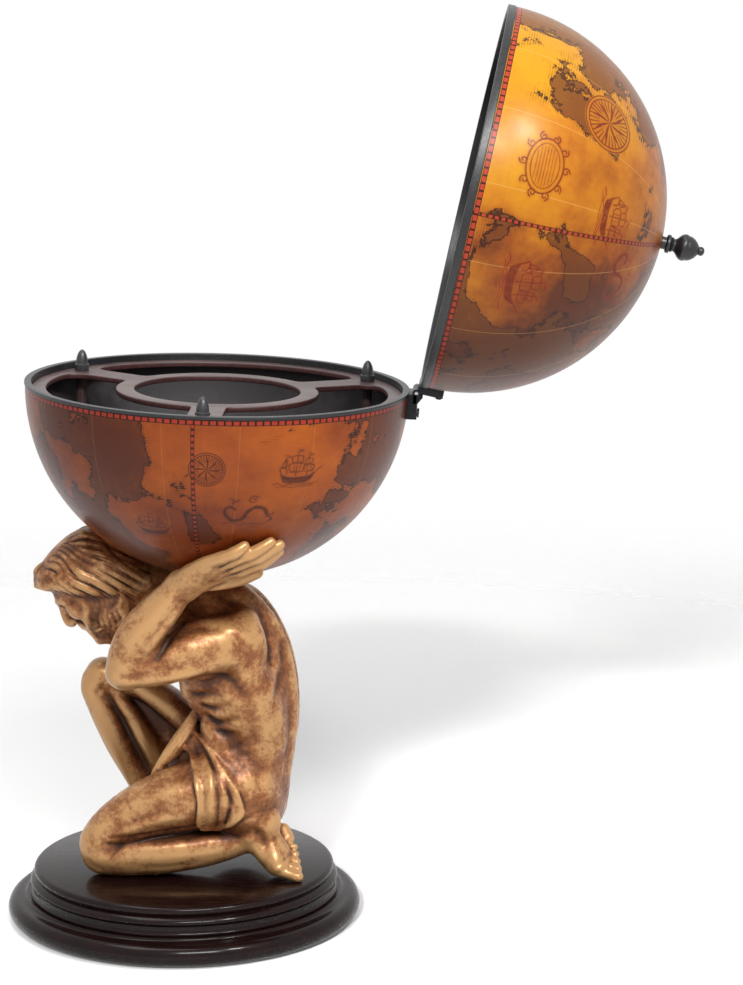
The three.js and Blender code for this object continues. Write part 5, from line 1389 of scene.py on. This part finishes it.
for name, corners, ride, node, place in zip(("bowlRim", "lidRim"), rimProfiles(), ("stand", "lid"),
                                            ("lower_rim", "upper_rim"), (globeFrame, domeFrame)):
    mesh = turnedMesh(name, roundedProfile(corners, rim["round"]), 192, closed=True)
    finishPiece(name, mesh, ride, blackSatin, [node], place, 50)
print("globe ready")

# tray: a flat board with a round hole and three curved cut-outs
tray = {"top": -5, "thick": 6, "radius": 203.06, "hole": 91, "inner": 111, "outer": 187.06,
        "web": 37, "outerFillet": 26, "innerFillet": 8, "ease": 1.4, "posts": 186, "shank": 3.4}


def ringPoints(radius, centre=(0, 0), count=96):
    return [(centre[0] + radius * cos(tau * i / count), centre[1] + radius * sin(tau * i / count))
            for i in range(count)]


def spotAt(radius, angle):
    return (radius * cos(angle), radius * sin(angle))


# one cut-out between two webs, its four corners eased
def cutoutPoints(middle):
    outer, inner = tray["outer"], tray["inner"]
    edge = lambda radius: pi / 3 - asin(tray["web"] / 2 / radius)
    corner = lambda radius, side: spotAt(radius, middle + side * edge(radius))
    outerBack, innerBack = outer - tray["outerFillet"], inner + tray["innerFillet"]
    outerEnd = edge(outer) - tray["outerFillet"] / outer
    innerEnd = edge(inner) - tray["innerFillet"] / inner
    points = [spotAt(outer, middle - outerEnd + 2 * outerEnd * i / 48) for i in range(49)]
    points += bendPoints(points[-1], corner(outer, 1), corner(outerBack, 1), 10)[1:]
    points += bendPoints(corner(innerBack, 1), corner(inner, 1), spotAt(inner, middle + innerEnd),
                         6)
    points += [spotAt(inner, middle + innerEnd - 2 * innerEnd * i / 32) for i in range(1, 33)]
    points += bendPoints(points[-1], corner(inner, -1), corner(innerBack, -1), 6)[1:]
    points += bendPoints(corner(outerBack, -1), corner(outer, -1), points[0], 10)[:-1]
    return points


# a flat board from closed outlines, holes among them, with its edges eased
def boardMesh(name, outlines, thick, ease):
    curve = bpy.data.curves.new(name, "CURVE")
    curve.dimensions = "2D"
    curve.fill_mode = "BOTH"
    curve.extrude = thick / 2 - ease
    curve.bevel_depth = ease
    curve.bevel_resolution = 3
    curve.offset = -ease
    for points in outlines:
        spline = curve.splines.new("POLY")
        spline.points.add(len(points) - 1)
        for point, (x, y) in zip(spline.points, points):
            point.co = (x, y, 0, 1)
        spline.use_cyclic_u = True
    shape = bpy.data.objects.new(name, curve)
    scene.collection.objects.link(shape)
    graph = bpy.context.evaluated_depsgraph_get()
    mesh = bpy.data.meshes.new_from_object(shape.evaluated_get(graph))
    bpy.data.objects.remove(shape)
    work = bmesh.new()
    work.from_mesh(mesh)
    bmesh.ops.remove_doubles(work, verts=work.verts, dist=0.01)
    bmesh.ops.recalc_face_normals(work, faces=work.faces)
    return bakeMesh(work, mesh)


postAngles = [-pi / 2 + tau * i / 3 for i in range(3)]
outlines = [ringPoints(tray["radius"], count=160), ringPoints(tray["hole"], count=96)]
outlines += [cutoutPoints(angle + pi / 3) for angle in postAngles]
outlines += [ringPoints(tray["shank"], spotAt(tray["posts"], angle), 24) for angle in postAngles]
trayMesh = boardMesh("trayBoard", outlines, tray["thick"], tray["ease"])
trayMesh.transform(Matrix.Translation((0, 0, tray["top"] - tray["thick"] / 2)))
trayPiece = finishPiece("trayBoard", trayMesh, "stand", boardStain, ["tray_top"], globeFrame, 35)
trayPiece.data.materials.append(cutEdge)
for face in trayPiece.data.polygons:  # the sawn walls show redder than the board's face
    face.material_index = int(abs(face.normal.z) < 0.7)

finial = {"radius": 8, "height": 23.5, "shank": 3, "depth": 18,
          "shape": [(1, 0), (1.02, 0.03), (1.02, 0.27), (1, 0.3), (0.88, 0.32), (0.86, 0.36),
                    (0.85, 0.45), (0.8, 0.57), (0.7, 0.70), (0.56, 0.82), (0.38, 0.92),
                    (0.18, 0.98), (0, 1)]}
for number, angle in enumerate(postAngles, 1):
    profile = [(0, -finial["depth"]), (finial["shank"], -finial["depth"]), (finial["shank"], 0.3)]
    profile += [(a * finial["radius"] / 1.02, 0.3 + b * finial["height"])
                for a, b in finial["shape"]]
    mesh = turnedMesh(f"trayFinial{number}", profile, 32)
    x, y = spotAt(tray["posts"], angle)
    mesh.transform(Matrix.Translation((x, y, tray["top"])))
    finishPiece(f"trayFinial{number}", mesh, "stand", finialPaint, [f"tray_finial_{number}"],
                globeFrame, 50)
    dress(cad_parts[f"tray_post_{number}"], boardStain)
dress(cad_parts["tray_shelf"], boardStain)
print("tray ready")

# lid finial
lidFinial = {"length": 48, "radius": 14.5,
             "shape": [(0.48, 0), (0.46, 0.1), (0.66, 0.12), (0.69, 0.14), (0.69, 0.18),
                       (0.66, 0.2), (0.5, 0.21), (0.59, 0.24), (0.5, 0.27), (0.46, 0.29),
                       (0.52, 0.33), (0.62, 0.36), (0.82, 0.41), (0.95, 0.46), (1, 0.51), (1, 0.56),
                       (0.95, 0.575), (0.93, 0.6), (0.9, 0.66), (0.78, 0.73), (0.62, 0.79),
                       (0.4, 0.84), (0.3, 0.86), (0.33, 0.89), (0.34, 0.92), (0.31, 0.955),
                       (0.2, 0.985), (0, 1)]}
profile = [(0, 0)] + [(a * lidFinial["radius"], b * lidFinial["length"])
                      for a, b in lidFinial["shape"]]
mesh = turnedMesh("lidFinialKnob", profile, 64)
mesh.transform(Matrix.Translation((0, 0, globePlace["radius"] + 0.3)))
finishPiece("lidFinialKnob", mesh, "lid", blackSatin, ["lid_finial"], domeFrame, 60)

# hinge: two leaves with bevelled edges, their knuckles and domed screws
hinge = {"width": 40, "height": 28, "knuckle": 4.5, "setback": 1, "bite": 206.6, "lowerOut": 1,
         "upperOut": -0.2, "lug": 6, "lugHeight": 12, "gap": 0.3, "ease": 0.7}


# corners in the x, z plane, drawn along Y and bevelled
def blockMesh(name, corners, width, ease):
    work = bmesh.new()
    face = work.faces.new([work.verts.new((x, -width / 2, z)) for x, z in corners])
    made = bmesh.ops.extrude_face_region(work, geom=[face])
    moved = [v for v in made["geom"] if isinstance(v, bmesh.types.BMVert)]
    bmesh.ops.translate(work, verts=moved, vec=(0, width, 0))
    bmesh.ops.recalc_face_normals(work, faces=work.faces)
    bmesh.ops.bevel(work, geom=work.edges[:], offset=ease, segments=3, profile=0.5, affect="EDGES",
                    material=-1)
    return bakeMesh(work, name)


# a rod along Y with eased ends
def rodMesh(name, radius, length, ease, segments=32):
    work = bmesh.new()
    bmesh.ops.create_cone(work, cap_ends=True, segments=segments, radius1=radius, radius2=radius,
                          depth=length, matrix=Matrix.Rotation(pi / 2, 4, "X"))
    rimEdges = [e for e in work.edges if all(len(f.verts) != 4 for f in e.link_faces)
                or any(len(f.verts) > 4 for f in e.link_faces)]
    bmesh.ops.bevel(work, geom=rimEdges, offset=ease, segments=2, profile=0.5, affect="EDGES",
                    material=-1)
    return bakeMesh(work, name)


def mergeMeshes(name, meshes):
    work = bmesh.new()
    for mesh in meshes:
        work.from_mesh(mesh)
    return bakeMesh(work, name)


# a leaf's plate between two heights off the pin, reaching into the shell's wall
def platePart(out, low, high):
    inward = hinge["bite"] - hingePlace["pinReach"]
    corners = [(inward, low), (out, low), (out, high), (inward, high)]
    return blockMesh("plate", corners, hinge["width"], hinge["ease"])


def barrelPart(side):
    third = hinge["width"] / 3
    barrel = rodMesh("barrel", hinge["knuckle"], third - 2 * hinge["gap"], 0.4)
    barrel.transform(Matrix.Translation((0, side * (third + hinge["gap"] / 2), 0)))
    return barrel


# the stop: the open lid's leaf rests on its sloping top
def lugPart():
    slope = tan(radians(hingePlace["open"] - 90))
    tip, low = hinge["lowerOut"] + hinge["lug"], -hinge["lugHeight"]
    top = -tip * slope - hinge["gap"]
    corners = [(-4, low), (hinge["lowerOut"], low), (tip, top - hinge["lug"] / 2), (tip, top),
               (-4, -0.5)]
    return blockMesh("lug", corners, hinge["width"], 0.5)


setback, leafEnd = hinge["setback"], hinge["setback"] + hinge["height"]
lowerParts = [platePart(hinge["lowerOut"], -leafEnd, -setback), lugPart(), barrelPart(-1),
              barrelPart(1)]
upperParts = [platePart(hinge["upperOut"], setback, leafEnd), barrelPart(0)]
finishPiece("hingeLowerLeaf", mergeMeshes("hingeLowerLeaf", lowerParts), "stand", blackHinge,
            ["hinge_lower_leaf"], pinSpot, 40)
finishPiece("hingeUpperLeaf", mergeMeshes("hingeUpperLeaf", upperParts), "lid", blackHinge,
            ["hinge_upper_leaf"], pinFrame, 40)
for name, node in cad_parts.items():
    if name.startswith(("hinge_lower_screw", "hinge_upper_screw")):
        dress(node, blackHinge)
    elif name == "hinge_pin" or any(
            part in name for part in ("_stud", "_washer", "_nut", "_bolt", "_screw")):
        dress(node, zinc)
print("hinge ready")

# the stage: a pale floor, a white surround and soft lamps
stage = {"floor": "#d0d0d0", "size": 9.0, "bounce": "#8a8a8a", "clear": 0.1, "surround": 0.22,
         "fadeFrom": 0.8, "fadeTo": 2.3}


# 1 for rays from the camera, off gloss and through glass, 0 for those that carry the room's light
def seenRay(tree):
    path = addNode(tree, "LightPath", out="Is Camera Ray").node.outputs
    both = mathNode(tree, "ADD", path["Is Camera Ray"], path["Is Glossy Ray"])
    return mathNode(tree, "ADD", both, path["Is Transmission Ray"], clamp=True)


work = bmesh.new()
bmesh.ops.create_circle(work, cap_ends=True, segments=96, radius=stage["size"])
floor = bpy.data.objects.new("studioFloor", bakeMesh(work, "studioFloor"))
scene.collection.objects.link(floor)
# matt pale floor that keeps the shadow and turns clear away from the object
floorPaint, tree, shader = newMaterial("paleFloorPaint", {"Roughness": 0.9})
spot = addNode(tree, "TexCoord", out="Object")
away = addNode(tree, "VectorMath", {"operation": "LENGTH", 0: spot}, "Value")
seen = seenRay(tree)
tree.links.new(mixNode(tree, seen, stage["bounce"], stage["floor"]), shader.inputs["Base Color"])
fade = addNode(tree, "MapRange", {1: stage["fadeFrom"], 2: stage["fadeTo"], 3: stage["clear"],
                                  "interpolation_type": "SMOOTHSTEP", 0: away})
fade = mathNode(tree, "MULTIPLY", fade, seen)
mixed = addNode(tree, "MixShader",
                {0: fade, 1: shader.outputs[0], 2: addNode(tree, "BsdfTransparent")})
tree.links.new(mixed, tree.nodes["Material Output"].inputs["Surface"])
dress(floor, floorPaint)
floor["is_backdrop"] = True

world = bpy.data.worlds.new("studioSurround")
scene.world = world
world.use_nodes = True
tree = world.node_tree
background = tree.nodes["Background"]
background.inputs["Color"].default_value = (1, 1, 1, 1)
strength = addNode(tree, "MapRange", {3: stage["surround"], 4: 1.0, 0: seenRay(tree)})
tree.links.new(strength, background.inputs["Strength"])


def addLamp(name, place, target, size, power):
    lamp = bpy.data.lights.new(name, "AREA")
    lamp.shape = "RECTANGLE"
    lamp.size, lamp.size_y = size
    lamp.energy = power
    thing = bpy.data.objects.new(name, lamp)
    thing.location = place
    thing.rotation_euler = (Vector(target) - Vector(place)).to_track_quat("-Z", "Y").to_euler()
    scene.collection.objects.link(thing)
    return thing


addLamp("softKey", (0.85, -3.1, 3.2), (0.05, 0, 0.5), (1.7, 0.8), 118)
addLamp("domeGlow", (1.34, -1.31, 2.27), (0.36, 0, 0.8), (0.32, 0.32), 26)
addLamp("softTop", (-0.6, -0.1, 3.6), (0.05, 0, 0.4), (1.8, 1.8), 45)
# gives the floor its long shadow and leaves the object alone
floorLamp = addLamp("floorLight", (-0.95, -6.6, 4.05), (0.05, 0, 0.3), (1.1, 0.3), 820)
group = bpy.data.collections.new("floorOnly")
group.objects.link(floor)
floorLamp.light_linking.receiver_collection = group

camera = bpy.data.cameras.new("photoCamera")
camera.sensor_width = 36
camera.lens = 112.93
camera.clip_end = 50
cameraPiece = bpy.data.objects.new("photoCamera", camera)
cameraPiece.location = (0.3285, -3.3352, 1.1624)
cameraPiece.rotation_euler = (radians(90 - 11.45), 0, radians(2.0))
scene.collection.objects.link(cameraPiece)
scene.camera = cameraPiece
scene.view_settings.view_transform = "Standard"

size = {"cad": [list(corner) for corner in cadBox],
        "visual": [list(corner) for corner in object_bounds()]}
print("scene ready", size)
